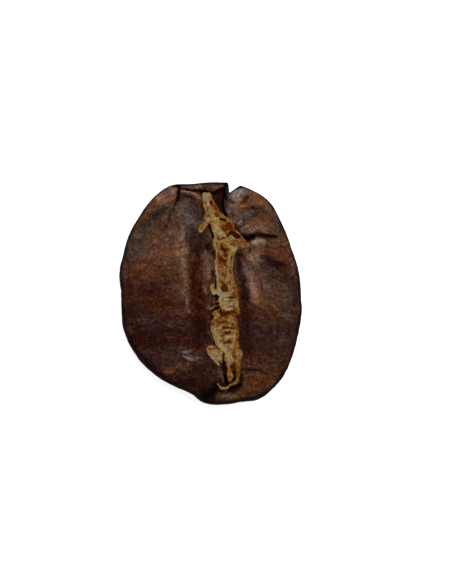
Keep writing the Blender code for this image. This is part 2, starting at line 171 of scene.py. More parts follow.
# Smaller forms that have no paint of their own: path, half width and height
SMALL_FORMS = [
    # hollow where the crack on the right starts
    ([(243, 237), (246, 239), (251, 238)], 3.4, -0.3),
    # ridges right of the silverskin, above the crack
    ([(238, 225), (243, 223), (249, 224)], 2.2, 0.05),
    ([(239, 229.5), (245, 229), (252, 231)], 2, 0.05),
    ([(243, 233), (250, 232.5), (262, 231), (272, 232)], 2.4, 0.05),
    ([(235.5, 222), (237, 227), (237.5, 230)], 1.8, -0.12),
    ([(237, 224.5), (240.5, 221)], 1.2, -0.06),
    # folds right of the bump under the crack
    ([(270, 243), (277, 243.5), (284, 246)], 2.4, 0.05),
    ([(261, 257), (268, 259), (275, 262), (284, 265)], 3.2, -0.09),
    ([(256, 246), (259, 252), (262, 255)], 2.5, 0.05),
    ([(254, 245), (255, 248)], 3, -0.1),
    ([(248, 248), (251, 251)], 2.5, -0.08),
    # diagonal ridges beside the silverskin, below its tongue
    ([(241, 250), (246, 255), (251, 262)], 2.6, 0.07),
    ([(240, 262), (245, 266), (249, 273), (251, 281)], 2.8, 0.08),
    ([(241, 259), (246, 265), (249, 270)], 1.4, -0.05),
    # mottled dents near the notch
    ([(250, 214), (249, 220), (252, 226)], 3, -0.05),
    # lip along the top end
    ([(183, 187), (195, 186.5), (203, 186), (213, 187.5), (221, 187.5)], 2.2, 0.06),
    # pits and flecks beside the silverskin on the left
    ([(207.5, 245), (209.5, 247.5)], 2.4, -0.18),
    ([(206, 288), (205.5, 293)], 2.2, 0.05),
    ([(206.5, 281.5), (207.5, 284)], 1.6, -0.08),
    # glinting wrinkles at the lower left
    ([(176, 357), (184, 360.5), (196, 363.5)], 1.8, -0.03),
    # crease at the lower right
    ([(243, 374), (252, 376.5), (262, 376)], 2.4, 0.04),
    ([(250, 311), (255, 317), (258, 320)], 3, -0.05),
    # dark tip
    ([(204, 397), (210, 392), (216, 388)], 4.5, -0.12),
]

# Patches of the roast's own colour together with painted light and shade: painted highlights and sheen on the
# crests and near the notch, painted shade on the slopes beside the silverskin, in the cut, round the
# silverskin's hook and in the hollow at the tip, a broad painted shade over the lower half, and a dark line
# of painted shade along the outline where the face turns away: path, half width, change of lightness, and
# change of warmth
ROAST_AND_SHADE_PATCHES = [
    # broad painted shade over the lower half, and a lighter upper right, as light from the upper right falls
    ([(140, 330), (190, 350)], 60, -1.25, -0.14),
    ([(190, 388), (205, 380)], 26, -0.7, 0),
    ([(255, 335), (285, 340)], 42, -1, 0.05),
    ([(276, 338), (287, 343)], 8, 0.3, 0),
    ([(250, 205), (262, 222)], 34, 0.33, 0.05),
    ([(158, 197), (150, 207), (141, 221), (134, 234)], 8, 0.5, 0.25),
    ([(173, 192), (168, 198), (160, 198)], 9, 1.3, 0.05),
    ([(163, 205), (160, 213), (152, 222), (143, 233), (137, 246), (131, 257)], 10, -0.55, -0.55),
    ([(184, 199), (193, 204), (197, 210), (200, 217)], 9, -0.7, -0.3),
    ([(184, 213), (186, 222)], 8, 0.25, -0.45),
    ([(258, 196), (266, 203)], 6, 0.1, 0.5),
    ([(231, 190), (240, 194)], 7, 0.2, -0.5),
    ([(160, 192), (172, 190)], 6, 0.1, -0.2),
    ([(143, 228), (158, 212), (168, 206)], 6.6, -0.4, -0.2),
    # painted shade in the hollow of the cut below the notch
    ([(218, 190), (220, 204)], 9, -0.9, 0),
    ([(182, 203), (190, 212), (196, 222)], 12, 0.1, -0.4),
    # painted highlight along the left lobe's crest
    ([(182, 229), (182, 245), (182, 268)], 7, 1.1, -0.15),
    ([(170, 220), (175, 236)], 10, 0.35, -0.1),
    ([(150, 247), (160, 248)], 10, -0.15, 0),
    ([(146, 364), (158, 374)], 8, -0.35, 0),
    ([(188, 316), (198, 322)], 8, -0.25, 0),
    ([(280, 345), (284, 356)], 9, 0.2, -0.1),
    # painted shade along the outline, where the face turns away
    ([(205, 401.5), (225, 402.2), (245, 401), (256, 399.5), (266.5, 394), (276.5, 387), (287.5, 374.5)],
     2.8, -1.5, 0),
    ([(283.5, 379), (294.3, 358), (299.2, 339), (301, 320), (300.2, 295), (296.2, 270)], 2.4, -1.4, 0),
    ([(148.5, 205), (136.5, 222), (128, 241), (122.3, 262), (121, 276), (122.3, 300)], 2.2, -1.6, 0),
    ([(121.5, 280), (123.5, 315), (125.5, 329), (131.2, 342), (139, 354)], 2.8, -1.6, 0),
    ([(131, 341.5), (139, 353.5), (154, 369.5), (172, 382.5), (190, 392.5)], 3, -1.6, 0),
    # painted highlight at the lower end of the left lobe's crest
    ([(184.5, 276), (186, 293), (186.6, 305)], 5.2, 0.65, 0),
    ([(160, 243), (168, 250), (160, 262)], 24, 0.35, 0.15),
    ([(181, 248), (182, 254)], 5, -0.35, -0.1),
    ([(194, 226), (195, 250)], 6.6, -0.3, -0.3),
    ([(128, 292), (150, 291), (168, 284), (180, 279)], 8, -0.4, -0.1),
    ([(152, 287), (158, 295)], 9, -0.25, 0),
    ([(150, 304), (160, 305)], 9, 0.1, 0.3),
    ([(138, 322), (165, 324), (190, 326)], 7, 0, -0.4),
    ([(150, 340), (180, 342)], 8, -0.1, 0.2),
    ([(158, 303), (164, 303)], 11, 0.1, 0.35),
    ([(128, 270), (150, 272)], 10, 0.2, 0.3),
    ([(196, 250), (197, 275), (198, 308)], 7, -0.95, 0.5),
    ([(190.5, 238), (190.5, 262), (192, 290), (193, 312)], 4, -0.5, 0.1),
    ([(191, 226), (194, 236)], 8, -0.5, -0.3),
    ([(203, 236), (197, 243), (206, 247)], 9, -1, -0.2),
    ([(158, 217), (164, 226)], 6, -0.5, -0.1),
    ([(207.5, 245.5), (209, 247)], 3, -1.6, 0.3),
    ([(206, 252), (208, 264), (208.5, 279)], 4.5, 0.9, -0.45),
    ([(198, 312), (200, 345)], 8, -0.9, 0.2),
    ([(210, 342), (213, 343)], 4, 0.3, 0.3),
    # painted glint among the wrinkles at the lower left
    ([(182, 353), (195, 357)], 9, 0.6, -0.4),
    ([(146, 353), (176, 352)], 9, 0.25, -0.25),
    ([(163, 371), (175, 368), (186, 366)], 7, 1, 0.2),
    ([(205, 373), (218, 374)], 9, -0.1, -0.2),
    ([(180, 383), (196, 385)], 7, -0.25, 0),
    # painted shade in the hollow at the tip
    ([(204, 396), (210, 393), (214, 388)], 7, -2.6, -0.6),
    ([(129, 328), (134, 332)], 3.5, 0.5, 0),
    # painted sheen beside the notch and along the top of the right lobe
    ([(233, 192), (240, 193), (234, 197)], 8, 1.3, -0.6),
    ([(230, 208), (234, 211)], 5, 0.6, -0.4),
    ([(245, 192), (258, 197), (267, 205)], 8, 0.7, -0.3),
    ([(246, 217), (252, 213), (257, 211)], 8, -0.8, -0.55),
    ([(250, 223), (262, 221), (271, 219)], 6, 0.2, 0.05),
    ([(238, 219), (246, 214)], 6, 0.3, -0.3),
    ([(240, 229), (258, 229), (272, 231)], 5, 0.4, -0.25),
    ([(277, 221), (280, 227)], 5, -0.6, -0.7),
    # painted shade in the hollow and crack on the right, and a painted highlight on the bump below them
    ([(241, 235.5), (245, 239), (250, 238.5), (254, 236)], 3.6, -2.4, 0),
    ([(250, 237.4), (252, 236.3), (256, 235.3), (262, 235.6), (270, 236.6), (276, 237)], 1.9, -2.4, 0.1),
    ([(253, 242), (258, 240.5), (264, 241.5)], 4.5, 1, -0.4),
    ([(256, 245), (262, 244)], 4.5, 0.5, -0.1),
    ([(254, 245.5), (255, 246.5)], 3, -0.8, -0.4),
    ([(248, 248.5), (251, 250.5)], 3, -0.7, 0.1),
    ([(262, 247), (272, 250), (285, 256), (292, 266)], 6, 0.3, 0.35),
    ([(261, 257), (268, 259), (275, 263), (285, 266)], 5, -1.5, 0),
    ([(265, 268), (276, 272), (288, 276)], 10, -0.7, -0.2),
    ([(251, 283), (253, 292), (254, 302)], 4.5, 0.45, -0.1),
    ([(255, 262), (256, 280), (258, 302)], 9, 0.35, -0.15),
    ([(252, 243), (256, 250), (258, 258)], 9, 0.7, -0.1),
    ([(262, 300), (268, 312), (270, 324)], 8, 0.3, 0.15),
    ([(258, 284), (260, 300), (261, 314)], 9, 0.5, 0.2),
    ([(244, 265), (249, 274), (252, 281)], 4, 0.5, -0.45),
    ([(243, 252), (249, 259), (253, 262)], 4.5, 0.5, -0.05),
    ([(252.5, 254), (255.5, 254.5)], 2.6, 0.5, -0.2),
    # painted shade on the slope right of the silverskin
    ([(238, 258), (239, 275), (244, 290), (246, 305)], 5.5, -1.1, -0.1),
    ([(273, 285), (290, 290)], 12, -0.3, -0.2),
    ([(289, 278), (294, 287), (294, 300)], 8, -0.8, -0.1),
    ([(277, 298), (279, 317)], 2.5, 0.35, 0),
    ([(285, 303), (288, 318)], 7, -0.1, -0.5),
    ([(256, 334), (285, 336)], 20, -0.25, -0.35),
    ([(260, 321), (261, 334)], 3.5, 0.2, 0.2),
    # more painted shade beside the silverskin, lower down
    ([(243, 282), (245, 300), (246, 330)], 6, -0.45, -0.2),
    ([(244, 330), (246, 348)], 7, -0.4, -0.1),
    ([(245, 364), (250, 361), (257, 362)], 6, 0.35, 0.15),
    ([(256, 353), (266, 352)], 4, 0.15, 0.3),
    ([(245, 384), (262, 384), (267, 380)], 9, 0.4, 0.35),
    ([(243, 373), (244.5, 382)], 3, 0.4, -0.4),
    ([(217, 397), (225, 395.5), (236, 397)], 4.5, 0.15, -0.1),
    ([(230, 393), (262, 392)], 7, -0.4, 0),
    # painted shadow beside, inside and right of the silverskin's hook
    ([(216.5, 386), (219, 391), (226, 392.5)], 2, -1.4, 0),
    ([(221, 381), (226, 383.5)], 4.5, -1.4, 0.1),
    ([(241.5, 371), (241, 382)], 1.8, -1, 0.2),
    ([(183, 187.5), (195, 187), (203, 186)], 2.8, 0.7, -0.4),
    ([(211, 187.5), (220, 186.5)], 3, 0.9, -0.25),
    ([(176, 185), (179.5, 188.5), (178.7, 195), (176, 203)], 2, -2.4, 0.1),
    ([(174, 185.5), (179, 188)], 2.4, -1.6, 0),
    ([(182, 191.5), (192, 192.5), (199, 196)], 2, 0.9, 0.1),
    ([(192.5, 194.5), (198, 197), (202, 199.5)], 2.2, 1.3, 0.4),
    ([(182, 189), (192, 190.3), (198, 191), (203, 192.5)], 1.7, -2.4, 0.5),
    ([(200, 190), (202, 193)], 2.4, -1.8, 0.1),
    # painted shade on the inner wall of the notch
    ([(225.5, 183), (226.3, 199)], 3.4, -2.6, -1),
    ([(226.5, 202), (228.5, 214)], 3, 0.1, -0.5),
    ([(204.5, 288), (205.5, 294)], 2.2, 0.8, -0.3),
    # painted light over the deep gap left of the silverskin, against its shade
    ([(213.5, 298), (213.5, 311)], 4, 2, -0.1),
]

# Mostly painted light and shade of the skin's wrinkles, cracks and hollows, which only change its lightness:
# lit and shaded sides of wrinkles, dark cracks, painted shadow below the silverskin's hook and at the tip,
# painted light over dark gaps and trenches beside the silverskin, and a few pale flecks: path, half width and
# change
WRINKLE_SHADING = [
    ([(257, 214), (262, 211.5), (268, 213), (270, 218)], 1.2, -0.6),
    ([(257, 218), (260, 215), (265, 215.5), (267, 220)], 1.2, 0.45),
    ([(256, 224), (259, 220), (263, 219), (265, 222)], 1.2, -0.5),
    ([(259, 226), (262, 223), (267, 224)], 1.2, 0.45),
    ([(245, 214), (248, 217), (248, 222)], 1.3, 0.5),
    ([(241, 214), (244, 218), (244, 223)], 1.3, -0.6),
    ([(237, 212), (241, 216), (241, 220)], 1.5, 0.45),
    ([(241, 203), (244, 200), (248, 197)], 2.2, -1),
    ([(250, 208.5), (256, 208), (264, 208.5)], 1.4, -0.7),
    ([(229.5, 199.5), (232, 202.5)], 1.8, -1),
    ([(237.5, 226.5), (242, 222)], 1.2, 1),
    ([(239.5, 228), (244, 224.5), (247, 223.5)], 1.1, -0.9),
    ([(240.5, 230), (245, 227), (250, 225.5)], 1.2, 0.9),
    ([(242, 231.5), (247, 229), (252, 228)], 1.1, -0.7),
    ([(244, 233), (250, 231), (257, 230), (266, 232)], 1.5, 0.25),
    ([(236.5, 224), (236, 228), (238.5, 231)], 1.8, -1.8),
    ([(262, 248), (267, 246.5), (273, 248)], 1.2, -0.6),
    ([(263, 251.5), (269, 249.5), (275, 252)], 1.2, 0.45),
    ([(265, 255), (270, 253), (276, 255)], 1.2, -0.6),
    ([(276, 243), (281, 246), (286, 251)], 1.3, -0.6),
    ([(272, 241.5), (279, 242.5), (284, 246)], 1.4, 0.45),
    ([(283, 255), (288, 262), (291, 269)], 1.2, -0.5),
    ([(281, 248), (288, 257), (292, 266)], 3, 0.5),
    ([(278, 217), (281, 225), (284, 233)], 2, -1.3),
    ([(269, 204), (273, 211)], 1.6, -1),
    ([(238.5, 243), (244, 247), (250, 254), (252, 261)], 2.2, 0.9),
    ([(243, 243.5), (249, 249), (253, 256)], 1.3, -0.9),
    ([(247, 244.5), (252, 250), (256, 254)], 1.6, 0.6),
    ([(240, 253), (244, 258), (247, 266)], 1.6, -0.9),
    ([(240, 266), (244, 270), (248, 277), (250, 283)], 1.2, 0.6),
    ([(246, 262), (250, 268), (252, 275)], 1.4, 0.4),
    ([(250, 264), (254, 270), (255, 277)], 1.2, -0.7),
    ([(252, 276), (251.5, 286), (252, 296)], 1.6, 0.4),
    ([(256, 280), (256, 290), (258, 300)], 1.5, 0.3),
    ([(259, 278), (261, 286), (260, 292)], 1.4, -0.6),
    ([(264, 282), (268, 288), (272, 292)], 1.4, 0.5),
    ([(270, 268), (276, 270), (281, 276)], 1.3, 0.5),
    ([(273, 264), (278, 268), (280, 273)], 1.2, -0.7),
    ([(280, 282), (285, 286), (288, 292)], 1.2, 0.5),
    ([(268, 298), (273, 304), (277, 312)], 1.6, 0.4),
    ([(171, 243.5), (177, 245), (182, 243)], 1.3, -0.8),
    ([(174, 247), (180, 248.5), (185, 246.5)], 1.3, -0.7),
    ([(173, 251), (178, 250), (181, 252)], 1.1, -0.6),
    ([(176, 256.5), (184, 257.5)], 1.4, -0.8),
    ([(181, 236), (185, 239.5)], 2, 0.35),
    ([(180, 253.5), (185, 252.5)], 2, 0.25),
    ([(150, 269), (160, 272), (172, 270)], 1.2, -0.5),
    ([(146, 264), (158, 266.5), (170, 265)], 1.1, -0.4),
    ([(128, 284), (140, 286), (150, 284)], 1.2, -0.5),
    ([(157, 276), (170, 275), (180, 273)], 1.2, -0.5),
    ([(133, 260), (141, 257), (150, 258)], 1.3, 0.4),
    ([(178, 287), (182, 291), (184, 296)], 1.4, 0.6),
    ([(175, 283), (180, 287)], 1.1, 0.5),
    ([(186, 299), (187.5, 305), (189, 312)], 2, 1.3),
    ([(133, 322), (144, 319), (155, 322)], 1.4, 0.5),
    ([(150, 327), (163, 324), (176, 328), (188, 326)], 1.4, 0.5),
    ([(140, 331), (156, 333), (170, 331)], 1.3, -0.5),
    ([(158, 338), (172, 337), (184, 339)], 1.2, 0.35),
    ([(185, 338), (193, 337.5)], 1.2, 0.7),
    ([(128, 328), (134, 332)], 1.8, 0.8),
    ([(183, 352), (188, 351)], 1.5, 0.8),
    ([(183, 355), (189, 359.5), (196, 361)], 1.4, 1.1),
    ([(186, 354), (193, 356)], 1.2, 0.8),
    ([(160, 356), (168, 353), (176, 354)], 1.3, 0.5),
    ([(148, 354), (156, 352)], 1.6, 0.4),
    ([(176, 364), (182, 362), (188, 364)], 1.2, 0.5),
    ([(258, 352), (268, 354), (276, 351)], 1.3, 0.45),
    ([(262, 347), (272, 345)], 1.2, 0.4),
    ([(246, 376.5), (252, 379), (258, 376.5), (252, 374), (246, 376.5)], 1.1, 0.6),
    ([(249, 376.5), (255, 376.5)], 1.2, -0.6),
    ([(246, 366), (256, 366), (266, 369)], 1.3, 0.4),
    ([(213, 394), (218, 396)], 1.5, 0.7),
    ([(222, 397), (227, 395)], 1.5, 0.8),
    ([(231, 396.5), (236, 395)], 1.5, 0.7),
    ([(204.5, 293), (206.5, 288), (207.5, 293)], 1.6, 0.5),
    # painted light over the deep gap left of the silverskin, against its shade
    ([(213, 298), (214, 303), (212, 307)], 4.5, 1.1),
    ([(200, 299), (202, 302)], 1.3, 1.2),
    ([(212, 297.5), (216, 299)], 1.6, 1.2),
    ([(206, 308), (209, 309)], 1.2, 1.5),
    ([(224.5, 362), (225.5, 369), (225, 375)], 1.6, 1),
    ([(206.5, 239), (207.5, 244)], 1.3, 1.6),
    # painted light over the trench beside the silverskin's lower end, against its shade
    ([(222, 360), (222.5, 370), (223.5, 381)], 3.4, 1.6),
    ([(233.6, 373), (233.4, 378)], 2, 1.2),
    # painted shadow below the silverskin's hook
    ([(228, 391.5), (235, 389), (240, 384), (242, 374)], 3.4, -1.3),
    ([(201, 391), (207, 396), (213, 391), (213, 400)], 5, -1.1),
    ([(241, 368.5), (250, 369), (259, 370.5), (269, 374.5)], 1.4, -1.3),
    ([(243, 366), (252, 366.5), (262, 368)], 1.6, 0.5),
    ([(182, 193), (188, 192.3), (194, 194)], 2.2, 0.7),
    ([(184, 197), (190, 196.8), (195, 199)], 1.6, -0.9),
    ([(212.5, 191), (217, 187.8), (222, 184.8)], 1.4, 1),
    ([(204, 184.8), (205, 189)], 1.8, -1),
    ([(208, 190.5), (211, 187), (210, 185)], 1.6, -0.9),
    ([(196, 186), (202, 187.5)], 2, 0.7),
    ([(185, 186.5), (192, 188), (198, 188.5)], 1.4, 0.5),
    ([(219, 190), (224, 186.5)], 2, -0.4),
    ([(209.5, 236), (211, 241)], 1.2, 1.4),
    # painted shade in the crack on the right
    ([(245, 238.5), (250, 236.5), (254, 235)], 3.2, -1.6),
    ([(252, 235.5), (260, 234.6), (268, 235.8), (276, 237.2)], 1.4, -1.6),
    ([(237, 225), (240, 222.5), (243, 221)], 1.2, 1.1),
    ([(240, 228), (243, 226), (247, 224.5)], 1.2, 0.9),
    ([(228, 206), (240, 205), (252, 203.5), (262, 203)], 2, 0.5),
    ([(245, 208), (254, 208.5), (262, 208)], 2.2, -0.6),
    ([(177, 185), (179, 188), (179, 193)], 2.6, -1.6),
    ([(179, 193), (178.5, 198), (176, 203)], 2, -1.3),
    ([(181, 191), (188, 192), (194, 194)], 1.9, 0.9),
    ([(182, 187.5), (190, 189), (198, 191.5)], 1.3, -1),
    ([(200.5, 193), (202.5, 200), (203, 208), (202.5, 216)], 2, -1.3),
    ([(204, 232), (208, 228), (213, 226)], 2.2, -1.2),
    ([(167, 206), (166, 214), (163, 222)], 1.6, 0.6),
    ([(171, 206), (170, 213), (168, 220)], 1.4, -0.7),
    ([(174, 206), (173, 212), (172, 218)], 1.4, 0.5),
    ([(218, 368), (219, 375), (218, 380)], 2, 0.7),
    ([(214, 374), (218, 376)], 3, 0.6),
    ([(197, 296), (199, 304)], 2, 0.5),
    ([(150, 287), (156, 291)], 3, 0.5),
]

# Where the roast is reddish: path, half width and strength
RED_PATCHES = [
    ([(140, 322), (185, 326)], 42, 0.45),
    ([(135, 292), (155, 290)], 20, 0.6),
    ([(198, 305), (200, 345)], 16, 1),
    ([(175, 378), (200, 384)], 20, 0.4),
    ([(246, 315), (245, 348)], 10, 0.8),
    ([(262, 340), (285, 350)], 24, 0.35),
    ([(242, 262), (244, 300)], 8, 0.4),
    ([(216, 196), (221, 208)], 7, 1),
    ([(265, 260), (280, 270)], 12, 0.3),
    ([(197, 255), (198, 300)], 9, 0.4),
]

# Silverskin's torn outline, in the photograph's pixels
SKIN_EDGE_PX = [
    (202, 194), (203.2, 192.3), (205.5, 192), (208, 192.6), (210.5, 192.3), (211.6, 194), (212.6, 197),
    (213.6, 200), (215, 202.5), (216.5, 205), (218, 207.5), (219.6, 209.8), (221.3, 212), (223.5, 214),
    (225.5, 216), (228.5, 217.5), (231, 219.5), (232.5, 222), (234, 225), (235.3, 228), (237, 230.5),
    (239.5, 232.5), (240.8, 235), (242.5, 237), (244.5, 239.5), (246.5, 242), (249.2, 243.6), (250.6, 246),
    (249.5, 248.2), (246, 248.8), (242.5, 249.3), (239.8, 250.2), (237.2, 251.6), (235.2, 254),
    (234.3, 257), (233.8, 260.5), (233.5, 264), (234.2, 268), (234.4, 272), (234.8, 276), (235.3, 280),
    (236.2, 284), (237.4, 287), (238, 290), (238.5, 294), (239.1, 298), (239.3, 303), (240.1, 307.5),
    (240.5, 311.5), (239.7, 315), (238.2, 316.8), (238.2, 319.2), (239.1, 323), (239.9, 327), (240, 331),
    (239.6, 335), (239.3, 339), (239.8, 344), (240.4, 348), (241.8, 350.5), (244.2, 353), (243.2, 355.5),
    (241.8, 357.7), (241.7, 361), (241.2, 365), (240.7, 369), (240.7, 373), (240.2, 377), (239.2, 380.5),
    (237.2, 383.9), (234, 385), (231, 386.2), (228.4, 388.2), (226, 389.7), (222.6, 390), (220, 389),
    (218.2, 386.6), (216.8, 383.4), (217.8, 382.2), (219.2, 383.4), (220.6, 385.4), (223.6, 386.2),
    (226.8, 385.4), (229.6, 383.9), (232.2, 382.2), (234.6, 380.8), (235.6, 378), (235.9, 374.5),
    (235.2, 371.5), (234.2, 369.8), (233.4, 371.2), (233.6, 374.5), (233.3, 378), (232.2, 380.8),
    (230.2, 382.4), (228.4, 381.4), (227.2, 378.6), (226.8, 375), (227.1, 371.5), (226.6, 368),
    (225.6, 364.5), (224.7, 361), (224.2, 358), (223.5, 357.4), (222.9, 359.4), (222.2, 362),
    (221.3, 364.6), (219.6, 366.4), (217.6, 365.8), (215.4, 363.5), (213, 361), (210.6, 358.2),
    (208.4, 355), (206.6, 352.2), (205.4, 349.5), (206.1, 347), (207.8, 345), (210.4, 344.4), (213, 345),
    (215.2, 345.3), (214.7, 343.2), (213.4, 340.2), (212, 336.5), (210.9, 332.5), (210.1, 328),
    (209.9, 324.5), (210.6, 321.4), (212.4, 319.2), (213, 316.8), (211.4, 315), (212.4, 312.2),
    (214.2, 310.2), (216.6, 309.4), (218.8, 309), (219.6, 307.4), (217.6, 306.8), (214.8, 307.2),
    (212.2, 309.6), (209.9, 311), (210.3, 308.8), (212.6, 306.2), (215, 304.6), (218.9, 304),
    (218.2, 302.6), (215.6, 303), (213.4, 304.2), (213.8, 302.4), (216, 300.8), (218.1, 299.8),
    (218.1, 299), (218.8, 296.4), (217.2, 295), (214.9, 295), (213.2, 296.5), (211.5, 295), (210.3, 292.6),
    (209.1, 290), (208.8, 287), (210, 284.2), (212.6, 283.4), (215, 284.4), (215.6, 287.4), (216.4, 289.2),
    (216.8, 287.6), (216.2, 284), (216, 281), (215.6, 277), (214.9, 272.5), (214.1, 268.8), (213.2, 266.4),
    (213, 264), (213.6, 261), (215.1, 258), (215.3, 254), (214.5, 250.5), (213, 248), (212, 244.6),
    (211.5, 241), (212.7, 238.4), (213.6, 236.2), (213, 234), (211.6, 231.8), (211.1, 229), (210.8, 226.4),
    (210.2, 224.4), (208.6, 225.6), (207, 227.6), (205.2, 229.8), (203.3, 232.1), (201.8, 233.8),
    (200, 234.4), (198.4, 233), (197.6, 230.2), (197.8, 227.2), (199.2, 225), (201.5, 223.8),
    (203.5, 222.4), (203.6, 220), (203.1, 217.6), (204.2, 215.4), (204.9, 213.4), (204, 211), (203, 208),
    (202.3, 204.5), (201.6, 201), (201, 197.6),
]

# Its raised folds and its torn hollows: path, half width and height
SKIN_RIDGES = [
    ([(203.2, 195), (203.6, 199), (204.6, 204), (205.2, 210)], 1.8, 0.09),
    ([(204.5, 194.6), (209.5, 195)], 3, 0.08),
    ([(209.5, 199), (208.4, 203), (209.6, 208), (210.4, 213)], 1.7, 0.07),
    ([(212, 199), (214.3, 204.5), (217, 208.5), (219.5, 213), (223, 215.3), (227, 217.7), (231, 221)],
     1.4, 0.08),
    ([(231, 221), (234, 226), (237, 231), (240.3, 235.3), (243.6, 239), (247, 244)], 1.3, 0.1),
    ([(204, 218.8), (209, 219.6), (215, 219), (220.6, 218.2)], 2.3, 0.08),
    ([(213, 210), (213.5, 216)], 2, 0.06),
    ([(225, 217), (227.5, 221), (228.5, 222)], 1.5, 0.06),
    ([(207, 225), (204.4, 229), (201.3, 232.6)], 1.5, 0.08),
    ([(199.4, 226.5), (201, 225.2)], 1.8, 0.04),
    ([(213, 223.5), (217, 228), (220, 232.5), (224, 236)], 3.2, 0.09),
    ([(221, 229), (224.5, 233.5), (226, 236.5)], 1.6, 0.06),
    ([(227, 232.5), (229.5, 232.4)], 1.4, 0.07),
    ([(226.8, 237), (231, 237.2), (236, 239.2), (240, 241.5)], 1.4, 0.09),
    ([(212.5, 226), (212.8, 231), (215.3, 236), (217.2, 241), (219.6, 247)], 1.4, 0.09),
    ([(213.2, 239.5), (213.6, 246)], 1.2, 0.05),
    ([(215.6, 241), (216.8, 248), (217, 256), (215.2, 262), (214.6, 266)], 1.5, 0.09),
    ([(223, 242), (227.5, 243.6), (231.2, 247.6), (231.4, 251.4), (229, 255), (228.2, 260), (228.6, 266)],
     1.9, 0.1),
    ([(221.2, 252.3), (222.2, 256)], 1.7, 0.07),
    ([(240, 244.5), (242.5, 248)], 2.6, 0.06),
    ([(236, 243), (236.2, 249), (234.6, 255), (232.9, 262), (231.9, 267.5)], 1.4, 0.09),
    ([(231.9, 267.5), (232.9, 273), (233.1, 278), (234.2, 284), (235.7, 288), (236.3, 293)], 1.4, 0.09),
    ([(236.3, 293), (237.1, 299), (237.2, 304), (238.2, 309), (238.5, 314)], 1.5, 0.08),
    ([(217.6, 266.5), (216.4, 272), (218.4, 277.5)], 2.6, 0.1),
    ([(220.6, 272), (220.4, 277.5)], 1.4, 0.07),
    ([(228.3, 271.5), (228.4, 276), (226.5, 280)], 2.1, 0.1),
    ([(223.6, 265), (223.8, 271)], 1.3, 0.06),
    ([(215.2, 268), (215.8, 277), (216.8, 284), (218.4, 290)], 1.3, 0.09),
    ([(219.6, 283), (219.4, 288), (220.5, 292)], 1.4, 0.06),
    ([(223.5, 280.5), (226.5, 285), (229.6, 289)], 1.4, 0.06),
    ([(231.5, 279), (231.8, 287), (232.6, 291.5)], 1.6, 0.06),
    ([(219.5, 294), (219.3, 299), (220.2, 304)], 1.7, 0.1),
    ([(221.5, 293.8), (226, 293.2), (230.5, 292.6)], 1.2, 0.08),
    ([(221, 297), (226, 296), (230, 295)], 1.3, 0.09),
    ([(224, 300.4), (229, 299.4), (234.5, 299.2)], 1.1, 0.09),
    ([(221.6, 303.5), (226, 302.8), (229, 301.6)], 1.2, 0.08),
    ([(228, 304.6), (231, 303.6), (233.3, 302.2)], 1.2, 0.09),
    ([(222.8, 306.4), (227, 306), (231.5, 305)], 1.1, 0.07),
    ([(224.5, 309), (229, 308.9), (232, 308.2)], 1.2, 0.08),
    ([(229.3, 314.6), (231.2, 313.4)], 2, 0.08),
    ([(210.8, 286.5), (213, 291), (213.8, 295)], 2.2, 0.08),
    ([(213.6, 293.5), (217, 293)], 1.5, 0.07),
    ([(212.6, 313.6), (215, 311)], 2, 0.08),
    ([(216.5, 312), (218.5, 314.5)], 1.6, 0.06),
    ([(214.5, 316.5), (217, 318)], 1.6, 0.06),
    ([(221.5, 317.2), (224, 318.2)], 1.8, 0.05),
    ([(228.8, 319.5), (231.8, 321.5)], 2.2, 0.1),
    ([(226.8, 323.6), (229, 325.2), (231.6, 326)], 1.4, 0.08),
    ([(210.6, 326), (211.6, 332), (213.6, 338), (216.2, 344)], 1.3, 0.09),
    ([(215, 328.5), (216.8, 334), (219, 340)], 3.2, 0.11),
    ([(214, 325), (217.5, 324.4)], 1.4, 0.05),
    ([(230, 329.5), (233.5, 330)], 1.8, 0.07),
    ([(236.2, 322), (237, 328), (237, 333)], 2, 0.08),
    ([(225.5, 337.4), (230.5, 336.8)], 2.4, 0.11),
    ([(234.2, 330), (234, 337), (233.6, 344)], 1.6, 0.07),
    ([(217, 344), (221.5, 347.5), (225.5, 352), (227.8, 357), (228.3, 363), (228.8, 368)], 2.4, 0.12),
    ([(222, 344), (226, 348.5)], 2, 0.07),
    ([(230.5, 346.5), (232, 348)], 2, 0.07),
    ([(229.5, 352), (232, 358), (232.6, 363)], 2.2, 0.1),
    ([(237.4, 342), (237.4, 348), (238.2, 354)], 1.6, 0.08),
    ([(242, 352.6), (241, 356)], 1.4, 0.06),
    ([(236.4, 352), (237.2, 359), (238.6, 364)], 1.8, 0.07),
    ([(206.8, 348.5), (208.4, 353.5), (212, 358.8), (216, 363), (219.2, 365.2)], 1.4, 0.09),
    ([(216.5, 352.5), (219, 358), (221, 360.5)], 2.2, 0.06),
    ([(211, 346), (214.5, 347)], 1.2, 0.04),
    ([(228.2, 370), (228, 375), (229, 380)], 1.3, 0.06),
    ([(232.2, 372), (232.6, 377), (231.2, 381)], 1.2, 0.06),
    ([(237.6, 369), (238, 374), (237.2, 379), (235.2, 382), (231, 384.2), (227.5, 386.8)], 1.5, 0.08),
    ([(227.5, 386.8), (224.5, 388), (221, 387.6), (218.9, 385), (217.9, 383)], 1.4, 0.08),
]
